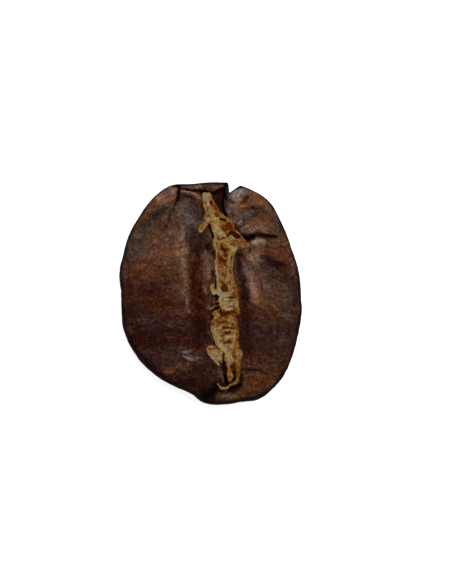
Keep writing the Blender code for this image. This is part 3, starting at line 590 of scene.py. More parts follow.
SKIN_HOLLOWS = [
    ([(204.4, 201.3), (206.8, 205)], 0.9, -0.11),
    ([(210.4, 201.6), (212.4, 204.6)], 1.3, -0.15),
    ([(207.8, 207.4), (207.6, 211.6)], 1, -0.1),
    ([(208.4, 214), (209.5, 218)], 1.2, -0.06),
    ([(216.5, 214.4), (217, 216.4)], 1.1, -0.1),
    ([(214, 206), (217.5, 210.5), (220.5, 213.4)], 1, -0.06),
    ([(221.2, 218.6), (222.6, 219.8), (223.8, 220.3)], 1.4, -0.34),
    ([(226.4, 223.6), (230.4, 223.6)], 1.1, -0.12),
    ([(226, 227), (229.5, 227.6)], 3, -0.08),
    ([(221.4, 226), (223.8, 230.4), (226.3, 233.6), (227.6, 236.2)], 1, -0.15),
    ([(228.6, 235.4), (230.8, 233.4), (232.6, 233.8), (235, 235.6), (238, 237), (240, 238.2)], 1.6, -0.38),
    ([(231.4, 232.6), (234, 234)], 1.6, -0.34),
    ([(217.4, 236.4), (219.6, 238.8), (222, 238.8), (225, 238.2)], 0.9, -0.13),
    ([(216.3, 242), (216.7, 247.6)], 0.9, -0.12),
    ([(218, 251), (218.4, 256)], 0.9, -0.08),
    ([(221.8, 246.8), (222.4, 249.4), (224.4, 251.2), (227, 250.2), (228.4, 248.8)], 1.3, -0.26),
    ([(225, 252), (225.8, 257)], 1.2, -0.13),
    ([(230.8, 244.3), (233, 244.9)], 1.1, -0.09),
    ([(218.4, 262.6), (222.3, 260.2), (225, 262.5), (225.6, 265.4)], 1.6, -0.16),
    ([(218.8, 259), (222, 258)], 1.6, -0.1),
    ([(231.4, 256.6), (231.2, 261.4)], 0.9, -0.12),
    ([(220, 267.4), (222, 267.2)], 0.8, -0.05),
    ([(229, 270.4), (230.8, 273.2)], 0.9, -0.12),
    ([(219, 271), (219, 273)], 0.9, -0.06),
    ([(223.4, 273), (224.6, 277.6)], 1.4, -0.1),
    ([(220.4, 281.4), (222.8, 282.6)], 1.2, -0.1),
    ([(225.8, 282), (228, 283.8)], 0.9, -0.07),
    ([(221.4, 285.6), (222.6, 289.4), (225.4, 291.2), (227.8, 291.4)], 1.1, -0.2),
    ([(224.4, 286), (226, 288.6)], 2, -0.13),
    ([(229.8, 281), (229.6, 284)], 0.8, -0.06),
    ([(233.2, 288.4), (236, 288.8)], 1.1, -0.09),
    ([(215.4, 286.6), (215.2, 289.4)], 0.9, -0.14),
    ([(231, 293.4), (233.4, 293.2)], 0.8, -0.07),
    ([(229, 297.8), (233, 297), (234.6, 296.6)], 1, -0.15),
    ([(222, 299), (222.8, 300)], 1, -0.09),
    ([(225, 298.2), (230, 297.9)], 0.7, -0.07),
    ([(226, 301.6), (229, 300.9), (233, 301)], 0.7, -0.08),
    ([(227, 304.3), (230.6, 302.6)], 0.7, -0.08),
    ([(226, 307.5), (230, 307), (233, 306.4)], 0.7, -0.08),
    ([(234, 305.5), (234.4, 309), (232.4, 311.4), (227, 311.6), (223, 310.6)], 1.1, -0.16),
    ([(220.6, 310), (221.6, 314.2), (224, 313.6), (228, 312)], 1.8, -0.32),
    ([(219.4, 306.6), (220.8, 309.6)], 1.2, -0.16),
    ([(220.4, 316.6), (219.6, 317.4)], 1.1, -0.12),
    ([(237, 315.8), (238.8, 317.6)], 1.4, -0.24),
    ([(234.8, 317), (233, 316.8)], 1, -0.08),
    ([(212.8, 322.8), (212.8, 324)], 1.3, -0.11),
    ([(216.4, 320.2), (219.4, 322.2), (224, 322.4), (226.4, 321)], 1.1, -0.13),
    ([(215.2, 327.2), (219.6, 326.2)], 1, -0.07),
    ([(222.8, 326), (225, 327.8), (228.8, 327.6)], 1.5, -0.23),
    ([(231, 327.6), (232.4, 327.8)], 0.9, -0.12),
    ([(232.2, 323.4), (232.6, 324.4)], 1, -0.12),
    ([(224.8, 332.4), (227, 333.2), (229.8, 332.6)], 1.3, -0.19),
    ([(224, 344), (225.4, 342), (228, 341.9), (231.4, 341.7)], 1.2, -0.18),
    ([(222.8, 334), (221.4, 336.6)], 1, -0.08),
    ([(223, 339.6), (223.6, 341)], 0.9, -0.08),
    ([(236.8, 339.2), (238.8, 340.6)], 1.1, -0.13),
    ([(237.6, 325), (237.8, 326.6)], 0.8, -0.08),
    ([(236, 334.8), (238.6, 334.6)], 0.8, -0.06),
    ([(215.9, 345.6), (217.2, 348.2), (220.6, 348.2)], 0.9, -0.14),
    ([(209.4, 348.4), (214.4, 348.8)], 1.8, -0.07),
    ([(217, 355.6), (218.6, 356.6)], 1.2, -0.09),
    ([(219.8, 361.8), (220.4, 363.2)], 1.1, -0.12),
    ([(222.2, 352.6), (223.3, 356), (223.8, 359)], 1.1, -0.2),
    ([(231.6, 366.4), (233.4, 367.4), (233.8, 370)], 1.8, -0.3),
    ([(233.8, 363.4), (234.2, 365)], 1.3, -0.14),
    ([(236.6, 367), (237.4, 368)], 1, -0.08),
    ([(237.2, 372.2), (237.4, 373.4)], 1.1, -0.08),
    ([(229.6, 374.4), (230, 377.6)], 1.5, -0.05),
    ([(233, 346.6), (233.4, 353), (235, 360)], 1.2, -0.06),
    ([(227.5, 360), (227.2, 366)], 1, -0.05),
]

# Its paler and darker parts: path, half width, change of tone, and change towards cream (positive) or
# orange (negative). The strongly darker ones lie over its deepest hollows and pits, where they are painted
# shade
SKIN_PATCHES = [
    ([(220, 295), (226, 302), (230, 306)], 9, 0.35, 0.9),
    ([(205, 195), (208, 199)], 6, 0.1, 0.9),
    ([(205, 220), (216, 220), (222, 233)], 8, -0.1, 0.5),
    ([(228, 225), (230, 228)], 5, -0.5, -0.8),
    ([(222, 259), (223, 265)], 6, -0.4, -0.7),
    ([(224, 247), (225, 252)], 4, -0.3, -0.3),
    ([(236, 242), (245, 246)], 6, -0.3, -0.5),
    ([(233, 258), (234, 280)], 3, -0.2, -0.6),
    ([(215, 266), (217, 280)], 4, -0.1, 0.4),
    ([(228, 270), (228, 280)], 4, -0.1, 0.5),
    ([(216, 328), (219, 342)], 7, -0.1, 0.6),
    ([(212, 312), (218, 322)], 5, -0.2, -0.2),
    ([(226, 320), (230, 325)], 5, -0.5, 0.1),
    ([(236, 308), (237, 330)], 4, -0.5, -0.3),
    ([(227, 337), (230, 337)], 4, 0, 0.4),
    ([(220, 345), (227, 354), (230, 362)], 6, 0, 0.7),
    ([(237, 320), (238, 350)], 3, -0.3, -0.3),
    ([(212, 350), (216, 358)], 8, 0.3, 0.8),
    ([(236, 378), (230, 385), (222, 388), (218, 384)], 3, 0.2, 0.5),
    ([(230, 372), (230, 380)], 3, 0.3, 0.1),
    ([(236, 358), (238, 366)], 4, -0.2, -0.4),
    ([(230, 370), (230, 381)], 5, -0.4, -0.8),
    ([(233, 364), (234, 372)], 3, -0.6, -0.8),
    ([(200, 227), (203, 230)], 4, -0.2, -0.1),
    ([(211, 202), (217, 209), (222, 214)], 3, -0.5, -1.2),
    ([(227, 219), (234, 229), (241, 238)], 2.5, -0.2, -0.8),
    ([(238, 251), (235, 262), (234, 285), (237, 300)], 2, -0.4, -1.1),
    ([(239, 300), (239, 318)], 2.5, -0.2, -0.9),
    ([(238, 320), (239, 335), (239, 350)], 2, -0.4, -0.7),
    ([(217, 262), (216, 275), (218, 290)], 1.6, 0.6, -0.2),
    ([(206, 199), (208, 202)], 3, 0.3, 0.6),
    ([(216, 222), (221, 219)], 4, 0.3, -0.4),
    ([(220, 235), (222, 240)], 4, 0.2, 0.9),
    ([(231, 238), (236, 240)], 3, -0.1, 0.8),
    ([(228, 244), (231, 250)], 3, 0.1, 0.6),
    ([(219, 256), (221, 257)], 3, -0.6, -0.9),
    ([(224, 286), (226, 290)], 3, -0.8, -0.8),
    ([(236, 292), (236, 298)], 2, -0.6, -0.9),
    ([(222, 326), (224, 340)], 3, -0.2, -0.3),
    ([(219, 344), (224, 350)], 3, 0.4, -0.3),
    ([(218, 364), (220, 366)], 2, 1, 0.8),
    ([(219.3, 361.5), (219.8, 363)], 1.2, -2, 0),
    ([(213, 306.5), (210, 310)], 1.6, 0.8, 0.2),
    ([(218, 306), (216.5, 302)], 2.4, -1, -0.7),
    ([(218, 311), (225, 314.5), (235, 312.5)], 2.8, -1.4, -0.8),
    ([(229, 296.5), (236, 296)], 1.8, -0.9, -0.8),
    ([(219, 243), (223, 246)], 2.2, -0.7, -0.8),
    ([(222, 229), (228, 231)], 1.5, -0.6, -0.9),
    ([(208, 223), (213, 231)], 1.4, -0.6, -0.6),
    ([(213, 294.5), (214.5, 293)], 2, 0.6, 0.6),
    ([(229, 385.5), (235, 382), (238, 376), (238.5, 370)], 3, -0.45, -0.4),
    ([(221, 327), (230, 334), (225, 342)], 4, 0.15, 0.1),
    ([(238, 352), (240, 362)], 3, -0.25, -0.2),
]

# Silverskin: how far over the face it lies, how thick it is, how wide the wall of the part in the cut is,
# how far it sags over the cut, how its edge rounds down into the face, and the size of its mesh's triangles
SKIN_CLEARANCE = 0.05
SKIN_THICKNESS = 0.13
SKIN_THINNEST = 0.04
SKIN_WALL = 0.15
SKIN_SAG = 0.14
SAG_WIDTH = 0.4
EDGE_ROUNDING = 0.10
EDGE_SINK = 0.02
SKIN_GRAIN_STEP = 0.032
EDGE_MARGIN = 0.6
# What the triangulation keeps, and how near to each other it merges spots
KEEP_INSIDE = 1
MERGE = 1e-6

# Fineness of the bean's mesh: rows along it, columns across its face and its back, and how much they are
# drawn together in the middle
ROWS = 300
FACE_COLUMNS = 264
BACK_COLUMNS = 64
CROWDING = 0.25

# How much wider than its half width each kind of stroke is laid on, since it thins to nothing there
FORM_SPREAD = 1.3
PAINT_SPREAD = 1.25
RIDGE_SPREAD = 1.35
HOLLOW_SPREAD = 1.45
# Lengths, in half widths, up to which a stroke keeps blunt ends and from which it tapers
SHORT_STROKE = 1.5
LONG_STROKE = 3.5
# Paint at least this wide follows the broad waves too
BROAD_PX = 6.5

# Waves that spots are moved about by: pitch and reach of each, and the ripples that it is the sum of, with
# their turns across, turns up and start
FINE_WAVES = [(0.9, 0.040), (0.31, 0.022)]
BROAD_WAVES = [(1.9, 0.12), (0.7, 0.07)]
SKIN_WAVES = [(0.5, 0.045), (0.19, 0.03)]
EDGE_WAVES = [(0.30, 0.035)]
RIPPLES_ACROSS = [(0.83, 0.61, 1.3), (-0.37, 1.13, 4.1), (1.31, -0.72, 0.0)]
RIPPLES_UP = [(0.71, -0.93, 2.2), (1.17, 0.29, 5.3), (0.42, 1.37, 0.0)]

# Fields of noise: a shift that sets each apart, the size of its coarsest lumps along each axis, and how many
# levels it has
SKIN_LUMPS = (7.3, (1.6, 2.4, 1.6), 2)
LEFT_WRINKLES = (0.0, (0.75, 0.24, 0.5), 4)
RIGHT_WRINKLES = (2.9, (0.80, 0.24, 0.5), 4)
BLOTCHES = (3.1, (1.2, 0.6, 1.0), 4)
WARM_CLOUDS = (5.7, (1.3, 0.9, 1.3), 3)
RIM_CLOUDS = (1.7, (0.9, 0.9, 0.9), 2)
CELL_CLOUDS = (2.7, (0.25, 0.25, 0.25), 2)
FINE_GRAIN = (8.1, (0.10, 0.08, 0.1), 2)

# Relief of the bean's skin, which ends near the flat spot. Its wrinkles run level on the left lobe and slant
# on the right one
WRINKLE_HEIGHT = 0.014
LUMP_HEIGHT = 0.035
SMOOTH_BELOW = 0.3
RIGHT_LOBE_START = 0.6
RIGHT_LOBE_BLEND = 0.8
SLANT = np.array([(0.8, 0.6, 0.0), (-0.6, 0.8, 0.0), (0.0, 0.0, 1.0)])

# Roast of the bean's skin: lightness in stops, warmth about 0 to 1, and redness 0 to 1. The blotches are the
# roast's own; the wrinkles are painted lighter on their crests and darker in their troughs, and painted shade
# darkens their creases and the centre cut. Lighter parts, painted highlights among them, are made cooler, and
# darker parts, painted shade among them, redder
BLOTCH_LIGHT = 0.45
WRINKLE_LIGHT_AND_SHADE = 0.40
CREASE_SHADE = 0.30
CREASE_WIDTH = 0.10
WARM_MIDDLE = 0.5
WARM_SPREAD = 0.25
LIGHT_COOLS = 0.12
CUT_SHADE = 1.7
BACK_RED = 0.3
DARK_RED = 0.5
DARK_RED_FROM = -0.3
DARK_RED_BLEND = 1.5

# Dark rim, painted shade where the surface turns away near the outline, sharp on the face and soft on the
# back: how dark, how far out it starts, and how wide its blend is
FACE_RIM_SHADE = (2.1, 0.971, 0.014)
BACK_RIM_SHADE = (1.2, 0.94, 0.06)
RIM_UNEVEN = 0.010
RIM_WIDER_RIGHT = 0.0008
RIM_THINNER_UP = 0.0014

# Relief and tone of the silverskin: how much each of its forms counts. Its tone follows the relief, paler on
# ridges and in the middle of cells and darker in hollows and along cell edges, partly its own colour and
# partly painted light and shade; it is also darkened by painted shade along its edge
RIDGE_SHARE = 0.65
HOLLOW_SHARE = 0.45
CELL_HEIGHT = 0.018
GRAIN_HEIGHT = 0.006
CELL_SIZE = (0.26, 0.20, 1.0)
CELL_SWIRL = 0.06
CELL_CONTRAST = 1.6
RIDGE_FULL_TONE = 0.16
HOLLOW_FULL_TONE = 0.08
CELL_TONE = 0.8
GRAIN_TONE = 0.30
EDGE_SHADE = 0.35
EDGE_SHADE_WIDTH = 0.07

# Spots in the materials: how many to a millimetre, and their detail
GRAIN = (6.0, 4.0)
SPECK = (14.0, 2.0)
TINT = (4.0, 3.0)
DUST = (18.0, 1.0)
PAPER_GRAIN = (12.0, 4.0)
USUAL_NOISE = (0.3, 0.7)
# Mottles of a colour: how many to a millimetre, and how much its red, green and blue each vary
ROAST_MOTTLES = [(7.0, (0.1, 0.4, 1.5)), (0.9, (0.1, 0.35, 0.9))]
PAPER_MOTTLES = [(3.2, (0.45, 0.45, 1.9)), (10.0, (0.4, 0.5, 1.8))]
MOTTLE_DETAIL = 3.0
LEAST_TINT = (0.15, 0.15, 0.15)

# Roast's lightness in stops: what its grain, specks and dust add, and how light parts have fainter flecks
GRAIN_STOPS = (-0.70, 0.70)
SPECK_STOPS = (-0.75, 0.75)
DUST_FROM = (0.66, 0.80)
DUST_STOPS = (0.0, 1.5)
DARK_TO_LIGHT = (-0.5, 1.2)
FLECK_STRENGTH = (1.08, 0.70)
# Roast's colour: its brightness at 0 stops, what changes its warmth, its hues from grey purple to orange
# brown, and its red
BEAN_BASE = 0.025
TINT_WARMTH = (-0.12, 0.12)
FLECK_WARMTH = -0.20
WARMTH_RANGE = (-0.5, 1.0)
BEAN_HUES = [
    (0.0, (1.0, 0.82, 0.68)), (0.333, (1.0, 0.63, 0.45)),
    (0.667, (1.0, 0.43, 0.22)), (1.0, (1.0, 0.30, 0.08)),
]
BEAN_REDS = [(0.0, (1.0, 1.0, 1.0)), (1.0, (1.0, 0.52, 0.72))]
# Silverskin's colour from its dark hollows to its pale folds, its own colour together with painted shade and
# light, and its tint from orange to cream
PAPER_TONES = [
    (0.0, (0.014, 0.0018, 0.0003)), (0.03, (0.024, 0.0036, 0.0004)), (0.10, (0.046, 0.0110, 0.0012)),
    (0.225, (0.064, 0.0220, 0.0040)), (0.40, (0.083, 0.0375, 0.0092)), (0.60, (0.100, 0.054, 0.0165)),
    (0.775, (0.112, 0.069, 0.0240)), (0.90, (0.128, 0.087, 0.0350)), (0.975, (0.150, 0.108, 0.052)),
]
PAPER_TINTS = [(0.0, (0.86, 0.69, 0.47)), (0.5, (0.80, 0.805, 0.76)), (1.0, (0.80, 0.87, 1.12))]
PAPER_SWING = (-0.10, 0.10)
PALEST_TONE = 0.97
# Finish: roughness, and depth of the relief that is only seen in how the surface takes the light
ROAST_ROUGHNESS = (0.42, 0.60)
ROAST_RELIEF = 0.02
PAPER_ROUGHNESS = 0.7
PAPER_RELIEF = 0.015
# How nodes are laid out
NODES_IN_ROW = 8
NODE_GAP = 200

# Stage, lights and camera: each lamp has a name, a side, an energy in watts and a place
FLOOR_SIZE = 400
FLOOR_GAP = 0.01
FLOOR_GREY = (0.45, 0.45, 0.45, 1)
FLOOR_GLOW = 0.55
WHITE = (1, 1, 1, 1)
SKY_STRENGTH = 0.6
LAMPS = [("key", 130, 2.6, (46, 80, 415)), ("overhead", 320, 2.2, (20, 30, 440))]
CAMERA_DISTANCE = 300.0
CAMERA_SEES_TO = 10000
SENSOR_WIDTH = 36


def from_photo(path):
    """A path in the photograph's pixels as millimetres in the bean's frame."""
    path = np.asarray(path, float)
    return np.column_stack([path[:, 0] - BEAN_CENTRE_PX[0], BEAN_CENTRE_PX[1] - path[:, 1]]) * MM_PER_PX


def soft_step(value):
    """0 up to 0, 1 from 1 on, and a smooth rise between them."""
    value = np.clip(value, 0, 1)
    return value * value * (3 - 2 * value)


def bell(value):
    return np.exp(-value * value)


def smooth_radius(angle):
    """Radius of the outline without its notch: a smooth closed curve through OUTLINE."""
    knots = np.radians([row[0] for row in OUTLINE])
    radii = np.array([row[1] for row in OUTLINE])
    turn = 2 * math.pi
    before = np.concatenate([[knots[-1] - turn], knots[:-1]])
    after = np.concatenate([knots[1:], [knots[0] + turn]])
    slopes = (np.roll(radii, -1) - np.roll(radii, 1)) / (after - before)
    angle = np.mod(angle, turn)
    start = np.searchsorted(knots, angle, side="right") - 1
    end = (start + 1) % len(knots)
    span = after[start] - knots[start]
    part = (angle - knots[start]) / span
    rise = part * part * (3 - 2 * part)
    lean_start = part * (1 - part) ** 2
    lean_end = part * part * (part - 1)
    swell = span * (slopes[start] * lean_start + slopes[end] * lean_end)
    return radii[start] * (1 - rise) + radii[end] * rise + swell


def notch_depth(angle):
    degrees = np.degrees(np.mod(angle, 2 * math.pi))
    return np.interp(degrees, [row[0] for row in NOTCH], [row[1] for row in NOTCH])


def outline_radius(angle):
    return smooth_radius(angle) - notch_depth(angle)


def nearest_on(spots, path):
    """Each spot's distance from a path, how far along the path that is, and the path's length."""
    nearest = np.full(len(spots), np.inf)
    reached = np.zeros(len(spots))
    covered = 0.0
    for start, end in zip(path[:-1], path[1:]):
        run = end - start
        length = np.linalg.norm(run)
        along = np.clip((spots - start) @ run / length ** 2, 0, 1)
        gap = np.linalg.norm(spots - start - along[:, None] * run, axis=1)
        nearer = gap < nearest
        nearest = np.where(nearer, gap, nearest)
        reached = np.where(nearer, covered + along * length, reached)
        covered += length
    return nearest, reached, covered


def inside(spots, polygon):
    """Whether each spot lies in a polygon."""
    crossings = np.zeros(len(spots), int)
    for start, end in zip(polygon, np.roll(polygon, -1, axis=0)):
        spans = (start[1] > spots[:, 1]) != (end[1] > spots[:, 1])
        rise = end[1] - start[1] if end[1] != start[1] else 1.0
        meets = start[0] + (spots[:, 1] - start[1]) * (end[0] - start[0]) / rise
        crossings += spans & (spots[:, 0] < meets)
    return crossings % 2 == 1


def closed(points):
    return np.vstack([points, points[:1]])


def depth_inside(spots, polygon):
    """Distance in from a polygon's edge, negative outside it."""
    polygon = np.asarray(polygon, float)
    distance = nearest_on(spots, closed(polygon))[0]
    return np.where(inside(spots, polygon), distance, -distance)


def stroke(spots, path, half_width, height):
    """A soft ridge or furrow along a path."""
    distance = nearest_on(spots, np.asarray(path, float))[0]
    share = np.clip(distance / half_width, 0, 1)
    return height * (1 - share * share) ** 2


def rounded(path):
    """A smooth curve through a path's points."""
    path = np.asarray(path, float)
    if len(path) < 3:
        return path
    ends = np.vstack([2 * path[0] - path[1], path, 2 * path[-1] - path[-2]])
    found = []
    for before, start, end, after in zip(ends[:-3], ends[1:-2], ends[2:-1], ends[3:]):
        for part in (0.0, 0.25, 0.5, 0.75):
            found.append(0.5 * (2 * start + (end - before) * part
                                + (2 * before - 5 * start + 4 * end - after) * part ** 2
                                + (3 * start - before - 3 * end + after) * part ** 3))
    return np.array(found + [path[-1]])


def brush(spots, path, width):
    """Strength from 0 to 1 of a soft stroke. A long one is half as wide at its ends, a short one isn't."""
    path = rounded(path)
    near = ((spots > path.min(axis=0) - width) & (spots < path.max(axis=0) + width)).all(axis=1)
    strength = np.zeros(len(spots))
    nearest, reached, length = nearest_on(spots[near], path)
    blunt = soft_step(1 - (length / width - SHORT_STROKE) / (LONG_STROKE - SHORT_STROKE))
    middle = np.clip(4 * reached * (length - reached) / length ** 2, 0, 1)
    slim = blunt + (1 - blunt) * (0.5 + 0.5 * middle)
    share = np.clip(nearest / (width * slim), 0, 1)
    strength[near] = (1 - share * share) ** 2
    return strength


def brush_px(spots, path_px, width_px):
    return brush(spots, from_photo(path_px), width_px * MM_PER_PX)


def wander(spots, waves):
    """Spots moved about in smooth waves, so that what is drawn through them looks grown rather than ruled."""
    for pitch, reach in waves:
        x, y = (2 * math.pi / pitch * spots).T
        shifts = [sum(np.sin(across * x + up * y + start) for across, up, start in ripples)
                  for ripples in (RIPPLES_ACROSS, RIPPLES_UP)]
        spots = spots + reach / 3 * np.stack(shifts, axis=1)
    return spots


def rough(points, field):
    """Fractal noise at each point, about -1 to 1."""
    shift, lumps, levels = field
    scaled = (points + shift) / np.array(lumps)
    return np.array([noise.fractal(Vector(spot), 1.0, 2.0, levels) for spot in scaled])


def cell_edges(points):
    """How far each point is from the edge of its cell, from 0 at the edge to about 1 in the middle."""
    found = np.array([noise.voronoi(Vector(spot))[0][:2] for spot in points / np.array(CELL_SIZE)])
    return np.clip(CELL_CONTRAST * (found[:, 1] - found[:, 0]), 0, 1)


def fullness(spots):
    """How far out each spot lies: 0 at the middle, 1 on the outline."""
    return np.hypot(spots[:, 0], spots[:, 1]) / outline_radius(np.arctan2(spots[:, 1], spots[:, 0]))


def face_dome(share):
    """Share of the face's rise at a share of the way out: 1 at the middle, 0 on the outline."""
    return np.sqrt(np.clip(1 - share ** FACE_FULLNESS, 0, 1))


def valley(spots):
    """The valley's floor and slopes, and the lobes' slight rise along its crests."""
    left_crest, left_foot, right_foot, right_crest, depth = [
        np.interp(spots[:, 1], VALLEY[:, 0], VALLEY[:, column]) for column in range(1, 6)]
    left = soft_step((spots[:, 0] - left_crest) / (left_foot - left_crest))
    right = soft_step((right_crest - spots[:, 0]) / (right_crest - right_foot))
    rise = bell((spots[:, 0] - left_crest) / CREST_WIDTH) + bell((spots[:, 0] - right_crest) / CREST_WIDTH)
    return depth * (CREST_RISE * rise - np.minimum(left, right))


def face_height(spots):
    """Height of the face with its valley, forms and cracks, but without the centre cut."""
    relief = valley(spots)
    loose = wander(spots, FINE_WAVES)
    for path, half_width, height in FORMS:
        relief = relief + stroke(loose, path, half_width, height)
    for path, half_width, height in CRACKS:
        relief = relief + height * brush(loose, path, FORM_SPREAD * half_width)
    return EQUATOR_HEIGHT + face_dome(fullness(spots)) * (FACE_RISE + relief)


def cut_depth(spots):
    """Depth of the centre cut's floor, less towards the bean's ends."""
    return CUT_DEPTH * np.sqrt(np.clip(1 - (spots[:, 1] / CUT_REACH) ** CUT_FULLNESS, 0, 1))


def add_object(name, data, place=(0, 0, 0)):
    made = bpy.data.objects.new(name, data)
    bpy.context.collection.objects.link(made)
    made.location = Vector(place) * MM
    return made


def make_mesh(name, points, faces):
    mesh = bpy.data.meshes.new(name)
    mesh.from_pydata((MM * points).tolist(), [], faces)
    mesh.shade_smooth()
    return add_object(name, mesh)


def paint(piece, name, values):
    """Keeps one value a point on a piece, for its material to read."""
    kept = piece.data.attributes.new(name, "FLOAT", "POINT")
    kept.data.foreach_set("value", values.astype(np.float32))


def raise_skin(piece, points, height):
    """Moves a piece's points out along its normals, each by its own height, and gives their new places."""
    normals = np.empty(3 * len(points))
    piece.data.vertex_normals.foreach_get("vector", normals)
    points = points + normals.reshape(-1, 3) * height[:, None]
    piece.data.vertices.foreach_set("co", (MM * points).ravel())
    piece.data.update()
    return points


def crowded(turn):
    """Sine of a turn, with its steps drawn together in the middle."""
    return np.sin(turn) * (1 - CROWDING * np.cos(turn) ** 2)


def bean_points():
    """The bean's points row by row, which are on the face, how far out they lie, and how far into the cut."""
    across = np.concatenate([
        crowded(np.linspace(-math.pi / 2, math.pi / 2, FACE_COLUMNS, endpoint=False)),
        np.sin(np.linspace(math.pi / 2, 3 * math.pi / 2, BACK_COLUMNS, endpoint=False)),
    ])
    on_face = np.arange(FACE_COLUMNS + BACK_COLUMNS) < FACE_COLUMNS
    along = crowded(np.linspace(-math.pi / 2, math.pi / 2, ROWS + 2))[1:-1]
    width = np.sqrt(1 - along ** 2)
    flat_x = np.concatenate([[0.0], np.outer(width, across).ravel(), [0.0]])
    flat_y = np.concatenate([[-1.0], np.repeat(along, len(across)), [1.0]])
    face = np.concatenate([[True], np.tile(on_face, ROWS), [True]])

    share = np.clip(np.hypot(flat_x, flat_y), 0, 1)
    angle = np.arctan2(flat_y, flat_x)
    fade = soft_step((share - NOTCH_END_RING) / (1 - NOTCH_END_RING))
    wave = BACK_WAVE * 2 * share * np.sqrt(1 - share ** 2) * np.sin(BACK_WAVE_COUNT * angle + BACK_WAVE_TURN)
    back_radius = share * smooth_radius(angle) * (1 + wave) - fade * notch_depth(angle)
    radius = np.where(face, share * outline_radius(angle), back_radius)
    spots = np.stack([radius * np.cos(angle), radius * np.sin(angle)], axis=1)

    height = np.zeros(len(spots))
    height[face] = face_height(spots[face])
    dome = face_dome(share[face])
    loose = wander(spots[face], FINE_WAVES)
    for path, half_width, rise in SMALL_FORMS + [mark[:3] for mark in MARKS]:
        height[face] += rise * dome * brush_px(loose, path, FORM_SPREAD * half_width)
    sink = soft_step(depth_inside(spots[face], CUT_LIP) / CUT_WALL)
    height[face] -= sink * cut_depth(spots[face])
    bottom = math.sqrt(1 - FLAT_SHARE ** 2)
    dropped = EQUATOR_HEIGHT * (1 - np.sqrt(1 - share ** 2) / bottom)
    height[~face] = np.maximum(dropped[~face], 0)
    return np.column_stack([spots, height]), face, share, sink


def bean_faces():
    """Faces between the bean's rows of points, and fans that close its two ends."""
    columns = FACE_COLUMNS + BACK_COLUMNS
    steps = [(column, (column + 1) % columns) for column in range(columns)]
    faces = []
    for row in range(ROWS - 1):
        low = 1 + row * columns
        high = low + columns
        faces += [(low + here, low + there, high + there, high + here) for here, there in steps]
    last = 1 + (ROWS - 1) * columns
    for here, there in steps:
        faces += [(0, 1 + there, 1 + here), (last + columns, last + here, last + there)]
    return faces


def fine_wrinkles(points):
    """Wrinkles of the skin, about -1 to 1, and slanting on the right lobe."""
    right = soft_step((points[:, 0] - RIGHT_LOBE_START) / RIGHT_LOBE_BLEND)
    return rough(points, LEFT_WRINKLES) * (1 - right) + rough(points @ SLANT, RIGHT_WRINKLES) * right


def rim(share, size):
    """Darkness of the painted rim shade at a share of the way out."""
    dark, start, blend = size
    return dark * soft_step((share - start) / blend)


def roast_and_shading(points, face, share, sink, wrinkles):
    """How light, how warm and how red the skin is at each point, with painted highlights and shade in its
    lightness.
    """
    # The blotches are the roast's own; the wrinkle terms are painted light and shade that follow the
    # wrinkles' relief
    light = (BLOTCH_LIGHT * rough(points, BLOTCHES) + WRINKLE_LIGHT_AND_SHADE * wrinkles
             - CREASE_SHADE * bell(wrinkles / CREASE_WIDTH))
    warm = WARM_MIDDLE + WARM_SPREAD * rough(points, WARM_CLOUDS)
    narrow = wander(points[:, :2], FINE_WAVES)
    broad = wander(narrow, BROAD_WAVES)
    painted_marks = [(mark[0], *mark[3:]) for mark in MARKS]
    painted_wrinkle_shading = [(*wrinkle, 0.0) for wrinkle in WRINKLE_SHADING]
    # patches, marks and wrinkles paint the roast's own colour together with painted highlights, sheen and
    # shade
    for path, half_width, lighter, warmer in ROAST_AND_SHADE_PATCHES + painted_marks + painted_wrinkle_shading:
        loose = broad if half_width >= BROAD_PX else narrow
        strength = face * brush_px(loose, path, PAINT_SPREAD * half_width)
        light = light + lighter * strength
        warm = warm + warmer * strength
    # painted shade in the centre cut
    light[face] -= CUT_SHADE * sink
    # painted shade of the rim, where the surface turns away, a little uneven
    uneven = (RIM_UNEVEN * rough(points, RIM_CLOUDS) + RIM_WIDER_RIGHT * points[:, 0]
              - RIM_THINNER_UP * points[:, 1])
    light = light - np.where(face, rim(share + uneven, FACE_RIM_SHADE), rim(share, BACK_RIM_SHADE))

    red = np.zeros(len(points))
    for path, half_width, redder in RED_PATCHES:
        red = np.maximum(red, redder * brush_px(broad, path, PAINT_SPREAD * half_width))
    red = np.where(face, red, BACK_RED)
    # the centre cut's painted shade is made reddish
    red[face] = np.maximum(red[face], sink)
    # darker parts, painted shade among them, are made redder, and lighter parts, painted highlights among
    # them, cooler
    red = np.clip(red + DARK_RED * soft_step((DARK_RED_FROM - light) / DARK_RED_BLEND), 0, 1)
    return {"light": light, "warm": warm - LIGHT_COOLS * np.clip(light, -1, 1), "red": red}


def build_bean():
    points, face, share, sink = bean_points()
    piece = make_mesh("bean_seed", points, bean_faces())
    wrinkles = fine_wrinkles(points)
    skin = WRINKLE_HEIGHT * wrinkles + LUMP_HEIGHT * rough(points, SKIN_LUMPS)
    points = raise_skin(piece, points, skin * np.clip(points[:, 2] / SMOOTH_BELOW, 0, 1))
    for name, values in roast_and_shading(points, face, share, sink, wrinkles).items():
        paint(piece, name, values)
    return piece


def grid(step, reach):
    """Spots in staggered rows that cover a square."""
    rows = np.arange(-reach, reach, step * math.sqrt(3) / 2)
    columns = np.arange(-reach, reach, step)
    shifts = np.where(np.arange(len(rows)) % 2 == 1, 0.5 * step, 0.0)
    x = columns[None, :] + shifts[:, None]
    y = np.repeat(rows[:, None], len(columns), axis=1)
    return np.column_stack([x.ravel(), y.ravel()])


def divide(path, step):
    """The path's points, with more between them where they are further apart than step."""
    found = []
    for start, end in zip(path[:-1], path[1:]):
        parts = max(1, round(float(np.linalg.norm(end - start)) / step))
        found += [start + (end - start) * number / parts for number in range(parts)]
    return np.array(found + [path[-1]])


